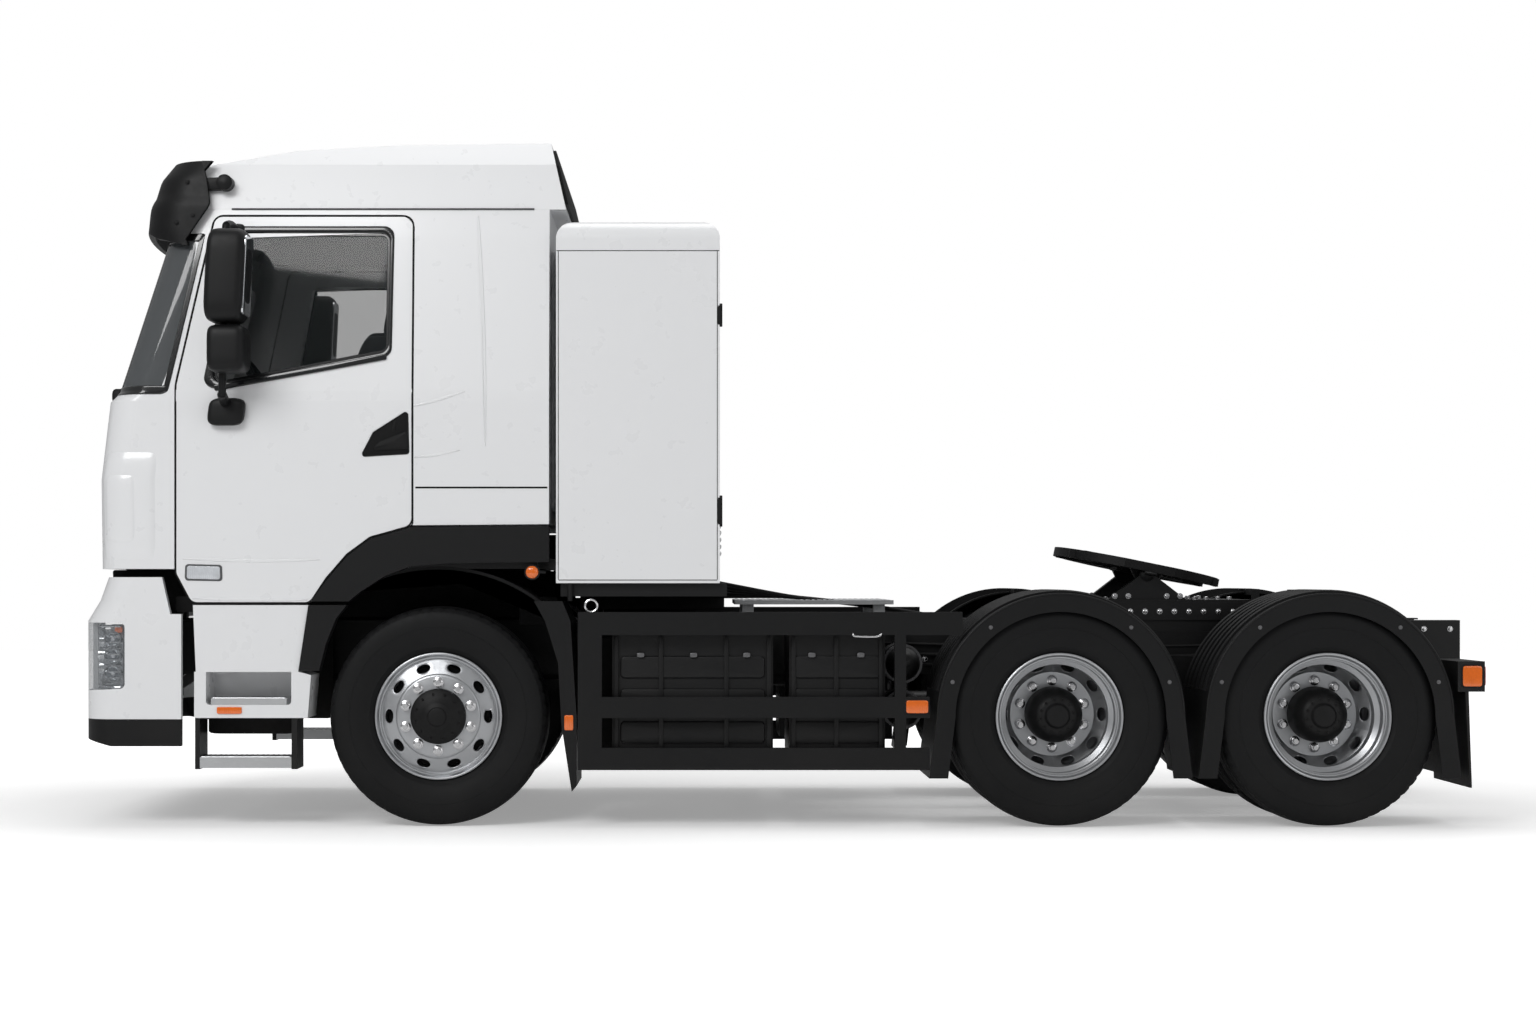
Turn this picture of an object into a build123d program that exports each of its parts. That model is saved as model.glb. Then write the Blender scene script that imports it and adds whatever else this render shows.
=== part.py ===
from build123d import *
from math import asin, atan2, cos, degrees, hypot, radians, sin, sqrt, tan
import os

# Semi truck tractor unit: cab over engine, three axles, the last two driven.
# Millimetres, +Z up. The vehicle faces -X and its left side is -Y. The origin is on
# the ground, under the middle of the vehicle's length and width.

# ------------------------------------------------------------- driving sizes
FRONT_AXLE_X = -1712
WHEELBASE = 3040
AXLE_SPREAD = 1310
DRIVE_AXLES_X = (FRONT_AXLE_X + WHEELBASE, FRONT_AXLE_X + WHEELBASE + AXLE_SPREAD)
BOGIE_X = sum(DRIVE_AXLES_X) / 2

TYRE_RADIUS = 540
TYRE_WIDTH = 300
HUB_Z = TYRE_RADIUS
BEAD_RADIUS = 286
FRONT_WHEEL_Y = 1020
TWIN_OUTER_Y = 1075
TWIN_INNER_Y = 740
KINGPIN_Y = 930

HALF_WIDTH = 1240
RAIL_FRONT_X = -3240
RAIL_REAR_X = 3512
RAIL_OUTER_Y = 430
RAIL_FLANGE = 80
RAIL_BOTTOM_Z = 720
RAIL_TOP_Z = 1000
RAIL_GAUGE = 8

NOSE_X = -3512
CAB_REAR_X = -1165
CAB_WALL = 60
CAB_BOTTOM_Z = 1262
CAB_TOP_Z = 3022
ROOF_TOP_Z = 3370
PIVOT_X = -3300
PIVOT_Z = 900

SEAM = 8
SEAT_GAP = 0.3
STEER_PIN_RADIUS = 22


# ------------------------------------------------------------------- helpers
def block(x0, x1, y0, y1, z0, z1):
    """A box between two corners."""
    centre = Pos((x0 + x1) / 2, (y0 + y1) / 2, (z0 + z1) / 2)
    return centre * Box(x1 - x0, y1 - y0, z1 - z0)


def side_prism(face, y0, y1):
    """A face drawn in X and Z, pushed across the vehicle from y0 to y1."""
    plane = Plane(origin=(0, y1, 0), x_dir=(1, 0, 0), z_dir=(0, -1, 0))
    return extrude(plane * face, amount=y1 - y0)


def outline(points):
    """A face from corner points."""
    return make_face(Polyline(*points, close=True))


def rounded(points, radius):
    """A face from corner points, with every corner rounded."""
    return make_face(FilletPolyline(*points, radius=radius, close=True))


def side_plate(points, y0, y1, radius=0):
    """A plate with an outline in X and Z."""
    face = rounded(points, radius) if radius else outline(points)
    return side_prism(face, y0, y1)


def cross_bar(points, x0, x1):
    """A bar with an outline in Y and Z, pushed along the vehicle."""
    plane = Plane(origin=(x0, 0, 0), x_dir=(0, 1, 0), z_dir=(1, 0, 0))
    return extrude(plane * outline(points), amount=x1 - x0)


def cross_tube(radius, x, z, y0, y1):
    """A round bar across the vehicle."""
    return Pos(x, (y0 + y1) / 2, z) * Rot(90, 0, 0) * Cylinder(radius, y1 - y0)


def post(radius, x, y, z0, z1):
    """An upright round bar."""
    return Pos(x, y, (z0 + z1) / 2) * Cylinder(radius, z1 - z0)


def rod(start, end, radius):
    """A round bar between two points."""
    a, b = Vector(*start), Vector(*end)
    plane = Plane(origin=a, z_dir=b - a)
    return extrude(plane * Circle(radius), amount=(b - a).length)


def spun(points):
    """A solid of revolution about the Y axis from points of radius and y."""
    face = make_face(Polyline(*[(r, y) for r, y in points], close=True))
    return revolve(face, axis=Axis.Y)


def other_side(shape):
    """The same shape on the other side of the vehicle."""
    return mirror(shape, about=Plane.XZ)


def both(shape):
    """A list of the shape and its mirror image."""
    return [shape, other_side(shape)]


def joined(shapes):
    """One shape from several that overlap or touch."""
    first, *rest = shapes
    return first.fuse(*rest) if rest else first


def save(name, *shapes):
    """Write a node's solids to its file."""
    solids = [solid for shape in shapes for solid in shape.solids()]
    whole = solids[0] if len(solids) == 1 else Compound(children=solids)
    export_step(whole, f"parts/{name}.step")


os.makedirs("parts", exist_ok=True)

# --------------------------------------------------------------------- frame
# Two channel rails, open towards the middle, with cross members between them.
CROSS_MEMBERS = ((-3180, 90, 880), (-1000, 120, 760), (350, 120, 760),
                 (BOGIE_X, 260, 740), (3300, 100, 760))
CROSS_X, CROSS_LENGTH, CROSS_BOTTOM = 0, 1, 2


def rail():
    web_inner = RAIL_OUTER_Y - RAIL_GAUGE
    flange_inner = RAIL_OUTER_Y - RAIL_FLANGE
    profile = [(RAIL_OUTER_Y, RAIL_BOTTOM_Z), (RAIL_OUTER_Y, RAIL_TOP_Z),
               (flange_inner, RAIL_TOP_Z), (flange_inner, RAIL_TOP_Z - RAIL_GAUGE),
               (web_inner, RAIL_TOP_Z - RAIL_GAUGE), (web_inner, RAIL_BOTTOM_Z + RAIL_GAUGE),
               (flange_inner, RAIL_BOTTOM_Z + RAIL_GAUGE), (flange_inner, RAIL_BOTTOM_Z)]
    return cross_bar(profile, RAIL_FRONT_X, RAIL_REAR_X)


SHAFT_HIGH_Z = 700
SHAFT_LOW_Z = 560
BRACKET_Y = (340, 380)
PIN_RADIUS = 25
UNDERRUN_Z = (560, 700)
UNDERRUN_X = (-3420, -3330)
UNDERRUN_HALF = 690
BEARING_X = (305, 410)


def pivot_bracket():
    """The front bracket that carries the cab's pivot and the under-run beam."""
    cheek = side_plate([(RAIL_FRONT_X + 140, 1000), (RAIL_FRONT_X, 1000), (PIVOT_X - 40, 930),
                        (PIVOT_X - 40, 830), (UNDERRUN_X[0], 690), (UNDERRUN_X[0], 570),
                        (UNDERRUN_X[1], 570), (RAIL_FRONT_X + 140, 724)], *BRACKET_Y)
    pin = cross_tube(PIN_RADIUS, PIVOT_X, PIVOT_Z, BRACKET_Y[0], 440)
    return joined([cheek, pin])


def build_frame():
    pieces = both(rail()) + both(pivot_bracket())
    for member in CROSS_MEMBERS:
        half = member[CROSS_LENGTH] / 2
        pieces.append(block(member[CROSS_X] - half, member[CROSS_X] + half,
                            -RAIL_OUTER_Y + 1, RAIL_OUTER_Y - 1,
                            member[CROSS_BOTTOM], RAIL_TOP_Z - 20))
    pieces.append(block(*UNDERRUN_X, -UNDERRUN_HALF, UNDERRUN_HALF, *UNDERRUN_Z))
    pieces.append(block(*BEARING_X, -75, 75, SHAFT_LOW_Z - 70, 762))
    for hanger_x in (FRONT_AXLE_X - 780, FRONT_AXLE_X + 780):
        pieces += both(block(hanger_x - 35, hanger_x + 35, 350, 430, 660, RAIL_BOTTOM_Z + 1))
    return joined(pieces)


# --------------------------------------------------------------- front axle
LEAF_Y = (365, 425)
LEAF_HALF = 745 - SEAT_GAP


def leaf_pack(x, half, y_range, centre_z, end_z, thick, tip):
    """A leaf spring, thick at its middle, with its tips at end_z."""
    left, right = (x - half, end_z), (x + half, end_z)
    top = ThreePointArc((x - half, end_z + tip), (x, centre_z + thick), (x + half, end_z + tip))
    low = ThreePointArc(right, (x, centre_z), left)
    edges = [top, Line((x + half, end_z + tip), right), low, Line(left, (x - half, end_z + tip))]
    return side_prism(make_face(Wire(edges)), *y_range)


def build_front_axle():
    eye = 50
    beam = cross_bar([(-KINGPIN_Y, 600), (-600, 600), (-520, 600), (520, 600), (600, 600),
                      (KINGPIN_Y, 600), (KINGPIN_Y, 490), (600, 480), (430, 440), (-430, 440),
                      (-600, 480), (-KINGPIN_Y, 490)],
                     FRONT_AXLE_X - 45, FRONT_AXLE_X + 45)
    pieces = [beam]
    bores = []
    for y in (-KINGPIN_Y, KINGPIN_Y):
        pieces.append(post(eye, FRONT_AXLE_X, y, HUB_Z - 80, HUB_Z + 80))
        bores.append(post(STEER_PIN_RADIUS + SEAT_GAP, FRONT_AXLE_X, y, 400, 700))
    pieces += both(leaf_pack(FRONT_AXLE_X, LEAF_HALF, LEAF_Y, 598, 680, 80, 24))
    axle = joined(pieces)
    for bore in bores:
        axle = axle - bore
    return axle


# ----------------------------------------------------- knuckles and tie rod
ARM_X = FRONT_AXLE_X + 180
ARM_Y = KINGPIN_Y
ARM_Z = (408, 432)
ROD_Z = 470


def knuckle():
    """The right steering knuckle, with its kingpin, spindle and steering arm."""
    lugs = [post(48, FRONT_AXLE_X, KINGPIN_Y, HUB_Z + 80 + SEAT_GAP, HUB_Z + 120),
            post(48, FRONT_AXLE_X, KINGPIN_Y, HUB_Z - 132, HUB_Z - 80 - SEAT_GAP)]
    pin = post(STEER_PIN_RADIUS, FRONT_AXLE_X, KINGPIN_Y, HUB_Z - 120, HUB_Z + 110)
    web = block(FRONT_AXLE_X - 48, FRONT_AXLE_X + 48, KINGPIN_Y + 56, KINGPIN_Y + 80,
                HUB_Z - 132, HUB_Z + 120)
    bridges = [block(FRONT_AXLE_X - 40, FRONT_AXLE_X + 40, KINGPIN_Y, KINGPIN_Y + 60, z0, z1)
               for z0, z1 in ((HUB_Z + 80 + SEAT_GAP, HUB_Z + 120),
                              (HUB_Z - 132, HUB_Z - 80 - SEAT_GAP))]
    spindle = cross_tube(38, FRONT_AXLE_X, HUB_Z, KINGPIN_Y + 70, FRONT_WHEEL_Y + 110)
    reach = Plane.XY.offset(ARM_Z[0]) * outline(
        [(FRONT_AXLE_X, KINGPIN_Y - 30), (FRONT_AXLE_X, KINGPIN_Y + 30),
         (ARM_X, ARM_Y + 22), (ARM_X, ARM_Y - 22)])
    arm = extrude(reach, amount=ARM_Z[1] - ARM_Z[0])
    pad = post(28, ARM_X, ARM_Y, *ARM_Z)
    return joined(lugs + [pin, web, spindle, arm, pad] + bridges)


def build_tie_rod():
    ends = [post(26, ARM_X, y, ARM_Z[1] + SEAT_GAP, ROD_Z + 24) for y in (-ARM_Y, ARM_Y)]
    bar = cross_tube(18, ARM_X, ROD_Z, -ARM_Y, ARM_Y)
    return joined(ends + [bar])


# -------------------------------------------------------------------- wheels
TYRE_PROFILE = ((BEAD_RADIUS, 112), (315, 114), (336, 130), (395, 146), (430, 150), (470, 148),
                (512, 138), (532, 124), (TYRE_RADIUS, 100))
RIM_FLANGE = 312
RIM_HALF = 124
RIM_GAUGE = 9


def tyre(centre_y, x):
    right = list(TYRE_PROFILE)
    left = [(r, -y) for r, y in reversed(TYRE_PROFILE)]
    return Pos(x, centre_y, HUB_Z) * spun(right + left)


def rim_barrel():
    """The rim's barrel with its drop centre, about its own middle."""
    outer = [(RIM_FLANGE, RIM_HALF), (RIM_FLANGE, RIM_HALF - 8), (BEAD_RADIUS, 114),
             (BEAD_RADIUS, 50), (262, 34), (262, -34), (BEAD_RADIUS, -50),
             (BEAD_RADIUS, -114), (RIM_FLANGE, 8 - RIM_HALF), (RIM_FLANGE, -RIM_HALF)]
    inner = [(BEAD_RADIUS - RIM_GAUGE, -RIM_HALF), (BEAD_RADIUS - RIM_GAUGE, -46),
             (253, -30), (253, 30), (BEAD_RADIUS - RIM_GAUGE, 46),
             (BEAD_RADIUS - RIM_GAUGE, RIM_HALF)]
    return spun(outer + inner)


HAND_HOLES = 10


def hand_holes(radius, y, tilt):
    """Ten slots through a wheel disc."""
    slot = extrude(SlotOverall(62, 34), amount=60, both=True)
    tool = Rot(0, 0, 0) * Pos(0, 0, radius) * Rot(90 + tilt, 0, 0) * slot
    return [Pos(0, y, 0) * Rot(0, (n + 0.5) * 360 / HAND_HOLES, 0) * tool
            for n in range(HAND_HOLES)]


def front_wheel():
    """Front rim, disc, hub and brake drum; its outside is towards +Y."""
    disc = spun([(280, 96), (262, 96), (240, 118), (205, 134), (95, 134), (95, 118), (200, 118),
                 (228, 106), (250, 80), (280, 80)])
    hub = spun([(0, 196), (60, 192), (88, 176), (128, 164), (134, 140), (134, 118), (90, 60),
                (90, 0), (38 + SEAT_GAP, 0), (38 + SEAT_GAP, 116), (0, 116)])
    drum = spun([(90, 70), (212, 70), (212, 0), (198, 0), (198, 56), (90, 56)])
    wheel = joined([rim_barrel(), disc, hub, drum])
    for hole in hand_holes(246, 100, 38):
        wheel = wheel - hole
    return wheel


def twin_wheel():
    """Two rims, their discs, the hub and the drum, about the twin wheel's middle."""
    middle = (TWIN_OUTER_Y + TWIN_INNER_Y) / 2
    half = TWIN_OUTER_Y - middle
    disc = [(280, 66), (262, 66), (236, 30), (208, 15), (95, 15), (95, 0), (212, 0),
            (246, 18), (268, 50), (280, 50)]
    outer_disc = spun(disc)
    inner_disc = spun([(r, -y) for r, y in disc])
    hub = spun([(0, 232), (52, 230), (60, 214), (92, 206), (128, 150), (134, 15), (134, -40),
                (100, -60), (100, -200), (60 + SEAT_GAP, -200), (60 + SEAT_GAP, 60), (0, 60)])
    drum = spun([(100, -70), (212, -70), (212, -250), (198, -250), (198, -84), (100, -84)])
    rims = [Pos(0, y, 0) * rim_barrel() for y in (half, -half)]
    wheel = joined(rims + [outer_disc, inner_disc, hub, drum])
    for hole in hand_holes(243, 0, 0):
        wheel = wheel - hole
    return wheel


# --------------------------------------------------------------- drive axles
SPINDLE_END_Y = 955
BOWL_RADIUS = 215
NOSE_REACH = 365


def build_drive_axles():
    axles = []
    for x in DRIVE_AXLES_X:
        tube = block(x - 70, x + 70, -560, 560, HUB_Z - 75, HUB_Z + 75)
        spindle = cross_tube(60, x, HUB_Z, -SPINDLE_END_Y, SPINDLE_END_Y)
        bowl = cross_tube(BOWL_RADIUS, x, HUB_Z, -120, 120)
        nose = rod((x - NOSE_REACH, 0, SHAFT_LOW_Z), (x - 120, 0, SHAFT_LOW_Z), 85)
        axles.append(joined([tube, spindle, bowl, nose]))
    return axles


def build_rear_suspension():
    reach = AXLE_SPREAD / 2 + 80
    leaf_y = (445, 525)
    saddle_z = 690
    leaves = leaf_pack(BOGIE_X, reach, leaf_y, 690, HUB_Z + 75 + SEAT_GAP, 130, 40)
    saddle = block(BOGIE_X - 130, BOGIE_X + 130, *leaf_y, 560, saddle_z + 10)
    trunnion = cross_tube(70, BOGIE_X, 600, RAIL_OUTER_Y + 0.2, 540)
    hanger = side_plate([(BOGIE_X - 260, 940), (BOGIE_X + 260, 940), (BOGIE_X + 110, 480),
                         (BOGIE_X - 110, 480)], RAIL_OUTER_Y, RAIL_OUTER_Y + 20)
    sides = both(joined([leaves, saddle, trunnion, hanger]))
    return sides


# ----------------------------------------------------------------- driveline
def build_driveline():
    motor = block(-2650, -1350, -315, 315, 650, 1180)
    gearbox = block(-1352, -1070, -200, 200, 690, 1000)
    return joined([motor, gearbox])


SHAFT_RADIUS = 55


def build_prop_shafts():
    """Three level shafts: gearbox to bearing, bearing to axle, axle to axle."""
    runs = ((-1070, BEARING_X[0], SHAFT_HIGH_Z),
            (BEARING_X[1], DRIVE_AXLES_X[0] - NOSE_REACH, SHAFT_LOW_Z),
            (DRIVE_AXLES_X[0] + BOWL_RADIUS, DRIVE_AXLES_X[1] - NOSE_REACH, SHAFT_LOW_Z))
    return [rod((x0 + SEAT_GAP, 0, z), (x1 - SEAT_GAP, 0, z), SHAFT_RADIUS)
            for x0, x1, z in runs]


# -------------------------------------------------------------- side modules
MODULE_TABLE = ((-860, -70), (10, 480))
MODULE_Y = (RAIL_OUTER_Y, 1130)
MODULE_Z = (345, 938)


def build_side_modules():
    boxes = []
    for x0, x1 in MODULE_TABLE:
        boxes += both(block(x0, x1, *MODULE_Y, *MODULE_Z))
    return boxes


GUARD_X = (-1024, 690)
GUARD_Y = (HALF_WIDTH - 40, HALF_WIDTH)
GUARD_RAILS = ((940, 1052, 850), (536, 638, 690), (282, 390, 690))


def side_guard():
    pieces = [block(GUARD_X[0], GUARD_X[0] + 117, *GUARD_Y, GUARD_RAILS[2][0], 1052),
              block(520, 575, *GUARD_Y, GUARD_RAILS[2][0], 1052)]
    for z0, z1, rear_x in GUARD_RAILS:
        pieces.append(block(GUARD_X[0], rear_x, *GUARD_Y, z0, z1))
    for x0, x1 in ((-1000, -930), (520, 575)):
        pieces.append(block(x0, x1, RAIL_OUTER_Y, GUARD_Y[1] - 10, 945, 995))
    return joined(pieces)


# ----------------------------------------------------- cabinet and its cradle
CABINET_X = (-1130, -332)
CABINET_Z = (1193, 2961)
CABINET_ROUND = 90
CABINET_WALL = 25


def build_cabinet():
    """A sheet cabinet, open below onto its cradle, with its top edges rounded."""
    def rounded_top(inset):
        half = HALF_WIDTH - inset
        body = block(CABINET_X[0] + inset, CABINET_X[1] - inset, -half, half,
                     CABINET_Z[0], CABINET_Z[1] - inset)
        top = body.edges().filter_by_position(Axis.Z, CABINET_Z[1] - inset - 1,
                                              CABINET_Z[1] - inset + 1)
        return fillet(top, CABINET_ROUND - inset)
    return rounded_top(0) - rounded_top(CABINET_WALL)


def build_cradle():
    tray = block(CABINET_X[0] + 20, CABINET_X[1] + 35, -1200, 1200, 1128, CABINET_Z[0])
    feet = []
    for x in (CABINET_X[0] + 80, CABINET_X[1] - 120):
        feet += both(block(x, x + 90, RAIL_OUTER_Y - RAIL_FLANGE, RAIL_OUTER_Y,
                           RAIL_TOP_Z, 1130))
    return joined([tray] + feet)


WALKWAY_X = (-250, 570)
WALKWAY_HALF = 500
WALKWAY_Z = (1082, 1104)


def build_walkway():
    deck = block(*WALKWAY_X, -WALKWAY_HALF, WALKWAY_HALF, *WALKWAY_Z)
    feet = []
    for x in (WALKWAY_X[0] + 40, WALKWAY_X[1] - 100):
        feet += both(block(x, x + 60, 370, RAIL_OUTER_Y, RAIL_TOP_Z, WALKWAY_Z[0] + 1))
    return joined([deck] + feet)


# --------------------------------------------------------------- fifth wheel
COUPLER_X = 1898
COUPLER_Z = 1236
COUPLER_REST = 11.5
PLATE_TOP = 62
PLATE_GAUGE = 20
SKIRT_DEPTH = 46
KINGPIN_BORE = 25.6
SUBFRAME_X = (1375, 2603)
EAR_Y = (286, 326)
PEDESTAL_Y = (331, 391)
COUPLER_PIN = 24
EAR_RADIUS = 36


def coupler_plate():
    """The coupling plate, level, about its pivot axis."""
    round_top = Pos(0, 0, 0) * Circle(445) & Rectangle(900, 850)
    top = Pos(0, 0, PLATE_TOP - PLATE_GAUGE) * extrude(round_top, amount=PLATE_GAUGE)
    ring = round_top - (Circle(427) & Rectangle(900, 814))
    skirt = Pos(0, 0, PLATE_TOP - SKIRT_DEPTH) * extrude(ring, amount=SKIRT_DEPTH - 5)
    throat_face = outline([(95, -34), (95, 34), (460, 215), (460, -215)])
    throat = Pos(0, 0, -100) * extrude(throat_face, amount=300)
    ribs = [block(-400, 400, y - 8, y + 8, PLATE_TOP - SKIRT_DEPTH, PLATE_TOP - 5)
            for y in (-240, -120, 120, 240)]
    lock = block(-120, 90, -110, 110, PLATE_TOP - 60, PLATE_TOP - 5)
    ears = both(side_plate([(-110, PLATE_TOP - 5), (110, PLATE_TOP - 5), (38, -38), (-38, -38)],
                           *EAR_Y, radius=12))
    plate = joined([top, skirt, lock] + ribs) - throat
    plate = joined([plate] + ears)
    plate = plate - post(KINGPIN_BORE, 0, 0, -100, 200)
    pins = both(cross_tube(COUPLER_PIN, 0, 0, EAR_Y[0] + 5, PEDESTAL_Y[1]))
    return joined([plate] + pins)


def build_coupler_base():
    rails = both(block(*SUBFRAME_X, 352, RAIL_OUTER_Y + 12, RAIL_TOP_Z, 1092))
    bed = block(1480, 2440, -RAIL_OUTER_Y, RAIL_OUTER_Y, 1090, 1106)
    foot = side_plate([(COUPLER_X - 210, 1100), (COUPLER_X + 210, 1100),
                       (COUPLER_X + EAR_RADIUS - 2, COUPLER_Z),
                       (COUPLER_X + 2 - EAR_RADIUS, COUPLER_Z)], *PEDESTAL_Y)
    pedestal = foot + cross_tube(EAR_RADIUS, COUPLER_X, COUPLER_Z, *PEDESTAL_Y)
    bore = cross_tube(COUPLER_PIN + SEAT_GAP, COUPLER_X, COUPLER_Z, 300, 450)
    return joined(rails + [bed] + both(pedestal - bore))


# ----------------------------------------------------------- rear mudguards
GUARD_RADIUS = 605
GUARD_SHEET = 8
MUD_Y = (606, HALF_WIDTH + 10)
LEG_BOTTOM_Z = 242
LEG_SPLAY = 36


def arch_face(radius, splay):
    """A half round over the wheel that runs on down as two legs."""
    legs = outline([(-radius, 0), (radius, 0), (radius + splay, LEG_BOTTOM_Z - HUB_Z),
                    (-radius - splay, LEG_BOTTOM_Z - HUB_Z)])
    half = Circle(radius) & (Pos(0, radius / 2) * Rectangle(2 * radius + 2, radius))
    return half + legs


def mudguard(x):
    outer = arch_face(GUARD_RADIUS, LEG_SPLAY)
    skin = outer - arch_face(GUARD_RADIUS - GUARD_SHEET, LEG_SPLAY)
    lip = outer - arch_face(GUARD_RADIUS - 92, LEG_SPLAY)
    place = Pos(x, 0, HUB_Z)
    return joined([place * side_prism(skin, *MUD_Y),
                   place * side_prism(lip, MUD_Y[1] - 12, MUD_Y[1])])


def build_mudguards():
    guards = []
    for x in DRIVE_AXLES_X:
        stay = block(x - 22, x + 22, RAIL_OUTER_Y, MUD_Y[1] - 60, HUB_Z + GUARD_RADIUS - 20,
                     HUB_Z + GUARD_RADIUS + 14)
        drop = block(x - 22, x + 22, RAIL_OUTER_Y, RAIL_OUTER_Y + 16, 900,
                     HUB_Z + GUARD_RADIUS + 14)
        guards += both(joined([mudguard(x), stay, drop]))
    return guards


# ------------------------------------------------------------ rear lamp bar
LAMP_BAR_X = (3262, 3394)
LAMP_BAR_Z = (664, 812)


def build_lamp_bar():
    sides = []
    box = block(*LAMP_BAR_X, 780, HALF_WIDTH, *LAMP_BAR_Z)
    arm = block(LAMP_BAR_X[0] + 30, LAMP_BAR_X[1] - 40, RAIL_OUTER_Y, 790, 730, 790)
    flap = side_plate([(3300, 670), (3316, 670), (3332, 196), (3322, 196)], 620, 1236)
    return both(joined([box, arm, flap]))


# ------------------------------------------------------------------ cab hull
# Plan sections of the cab's outside: height, front middle X, half width, corner radius.
ROOF_HALF = HALF_WIDTH - 66
HULL_SECTIONS = ((1096, -3438, HALF_WIDTH, 150), (1700, -3446, HALF_WIDTH, 150),
                 (2080, -3402, HALF_WIDTH, 160), (2130, -3352, HALF_WIDTH - 2, 170),
                 (2883, -3118, HALF_WIDTH - 54, 190), (CAB_TOP_Z, -3070, ROOF_HALF, 200))
FRONT_BULGE = 92


def plan_face(z, front_x, half, corner, rear_x, inset=0):
    """A plan section: straight sides, an arched front and rounded front corners."""
    front, side, rear = front_x + inset, half - inset, rear_x - inset
    shoulder = front + FRONT_BULGE
    edges = [Line((rear, -side), (shoulder, -side)),
             ThreePointArc((shoulder, -side), (front, 0), (shoulder, side)),
             Line((shoulder, side), (rear, side)), Line((rear, side), (rear, -side))]
    face = make_face(Wire(edges))
    corners = face.vertices().sort_by(Axis.X)[:2]
    face = fillet(corners, corner - inset * 0.8)
    return Pos(0, 0, z) * face


def hull(inset=0):
    """The cab's body, from under the doors to the roof, moved in by the inset."""
    faces = [plan_face(z, front, half, corner, CAB_REAR_X, inset)
             for z, front, half, corner in HULL_SECTIONS]
    return loft(faces, ruled=True)


HINGE_X = -2981
DOOR_REAR_X = -1832
DOOR_TOP_Z = 2988
DOOR_BOTTOM_Z = 1098
DOOR_POINTS = ((HINGE_X, 1240), (-2905, DOOR_BOTTOM_Z), (-2330, DOOR_BOTTOM_Z),
               (-2252, 1216), (-2150, 1334), (-2036, 1418), (DOOR_REAR_X, 1475),
               (DOOR_REAR_X, DOOR_TOP_Z), (-2800, DOOR_TOP_Z), (HINGE_X, 2160))
DOOR_ROUNDS = (30, 30, 1, 260, 260, 260, 20, 60, 50, 120)
WINDOW_POINTS = ((-2806, 2158), (-1950, 2324), (-1944, 2904), (-2668, 2904))
WINDOW_ROUND = 42
ARCH_POINTS = ((-2420, 1000), (-2330, DOOR_BOTTOM_Z), (-2252, 1216), (-2150, 1334),
               (-2036, 1418), (DOOR_REAR_X, 1475), (CAB_REAR_X + 100, 1481),
               (CAB_REAR_X + 100, 1000))


def grown(points, amount):
    """A face from rounded door points, moved out by an amount."""
    face = make_face(FilletPolyline(*points, radius=DOOR_ROUNDS, close=True))
    return offset(face, amount=amount) if amount else face


SIDE_REACH = (HALF_WIDTH - 340, HALF_WIDTH + 160)
SCREEN_LOW, SCREEN_HIGH = HALF_WIDTH - 120, HALF_WIDTH - 190
SCREEN_POINTS = ((-SCREEN_LOW, 2150), (SCREEN_LOW, 2150), (SCREEN_HIGH, 2868), (-SCREEN_HIGH, 2868))
SCREEN_ROUND = 60
FLAP_LOW, FLAP_HIGH = HALF_WIDTH - 310, HALF_WIDTH - 240
FLAP_POINTS = ((-FLAP_LOW, 1290), (FLAP_LOW, 1290), (FLAP_HIGH, 2060), (-FLAP_HIGH, 2060))
FLAP_ROUND = 40


def front_prism(points, radius, grow=0):
    """A rounded outline in Y and Z, pushed back through the front of the cab."""
    face = make_face(FilletPolyline(*points, radius=radius, close=True))
    if grow:
        face = offset(face, amount=grow)
    plane = Plane(origin=(-3600, 0, 0), x_dir=(0, 1, 0), z_dir=(1, 0, 0))
    return extrude(plane * face, amount=700)


FLAP_AXIS = (-3406, 2052)
FLAP_PIN = 5
FLAP_BARREL = 9
LUG_HALF = 100


def flap_hinge():
    """The flap's pin and bosses, the body's lug with its bore, and the flap's notch."""
    pin = cross_tube(FLAP_PIN, *FLAP_AXIS, -LUG_HALF - 50, LUG_HALF + 50)
    bosses = both(cross_tube(FLAP_BARREL, *FLAP_AXIS, LUG_HALF + 10, LUG_HALF + 50))
    strap = block(FLAP_AXIS[0] - FLAP_BARREL, FLAP_AXIS[0] + 8, -LUG_HALF, LUG_HALF,
                  FLAP_AXIS[1], FLAP_AXIS[1] + 30)
    lug = strap + cross_tube(FLAP_BARREL, *FLAP_AXIS, -LUG_HALF, LUG_HALF)
    lug = lug - cross_tube(FLAP_PIN + SEAT_GAP, *FLAP_AXIS, -LUG_HALF - 1, LUG_HALF + 1)
    notch = block(FLAP_AXIS[0] - 60, FLAP_AXIS[0] + 100, -LUG_HALF - 6, LUG_HALF + 6,
                  FLAP_AXIS[1] - 15, FLAP_AXIS[1] + 40)
    return [pin] + bosses, lug, notch


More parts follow.
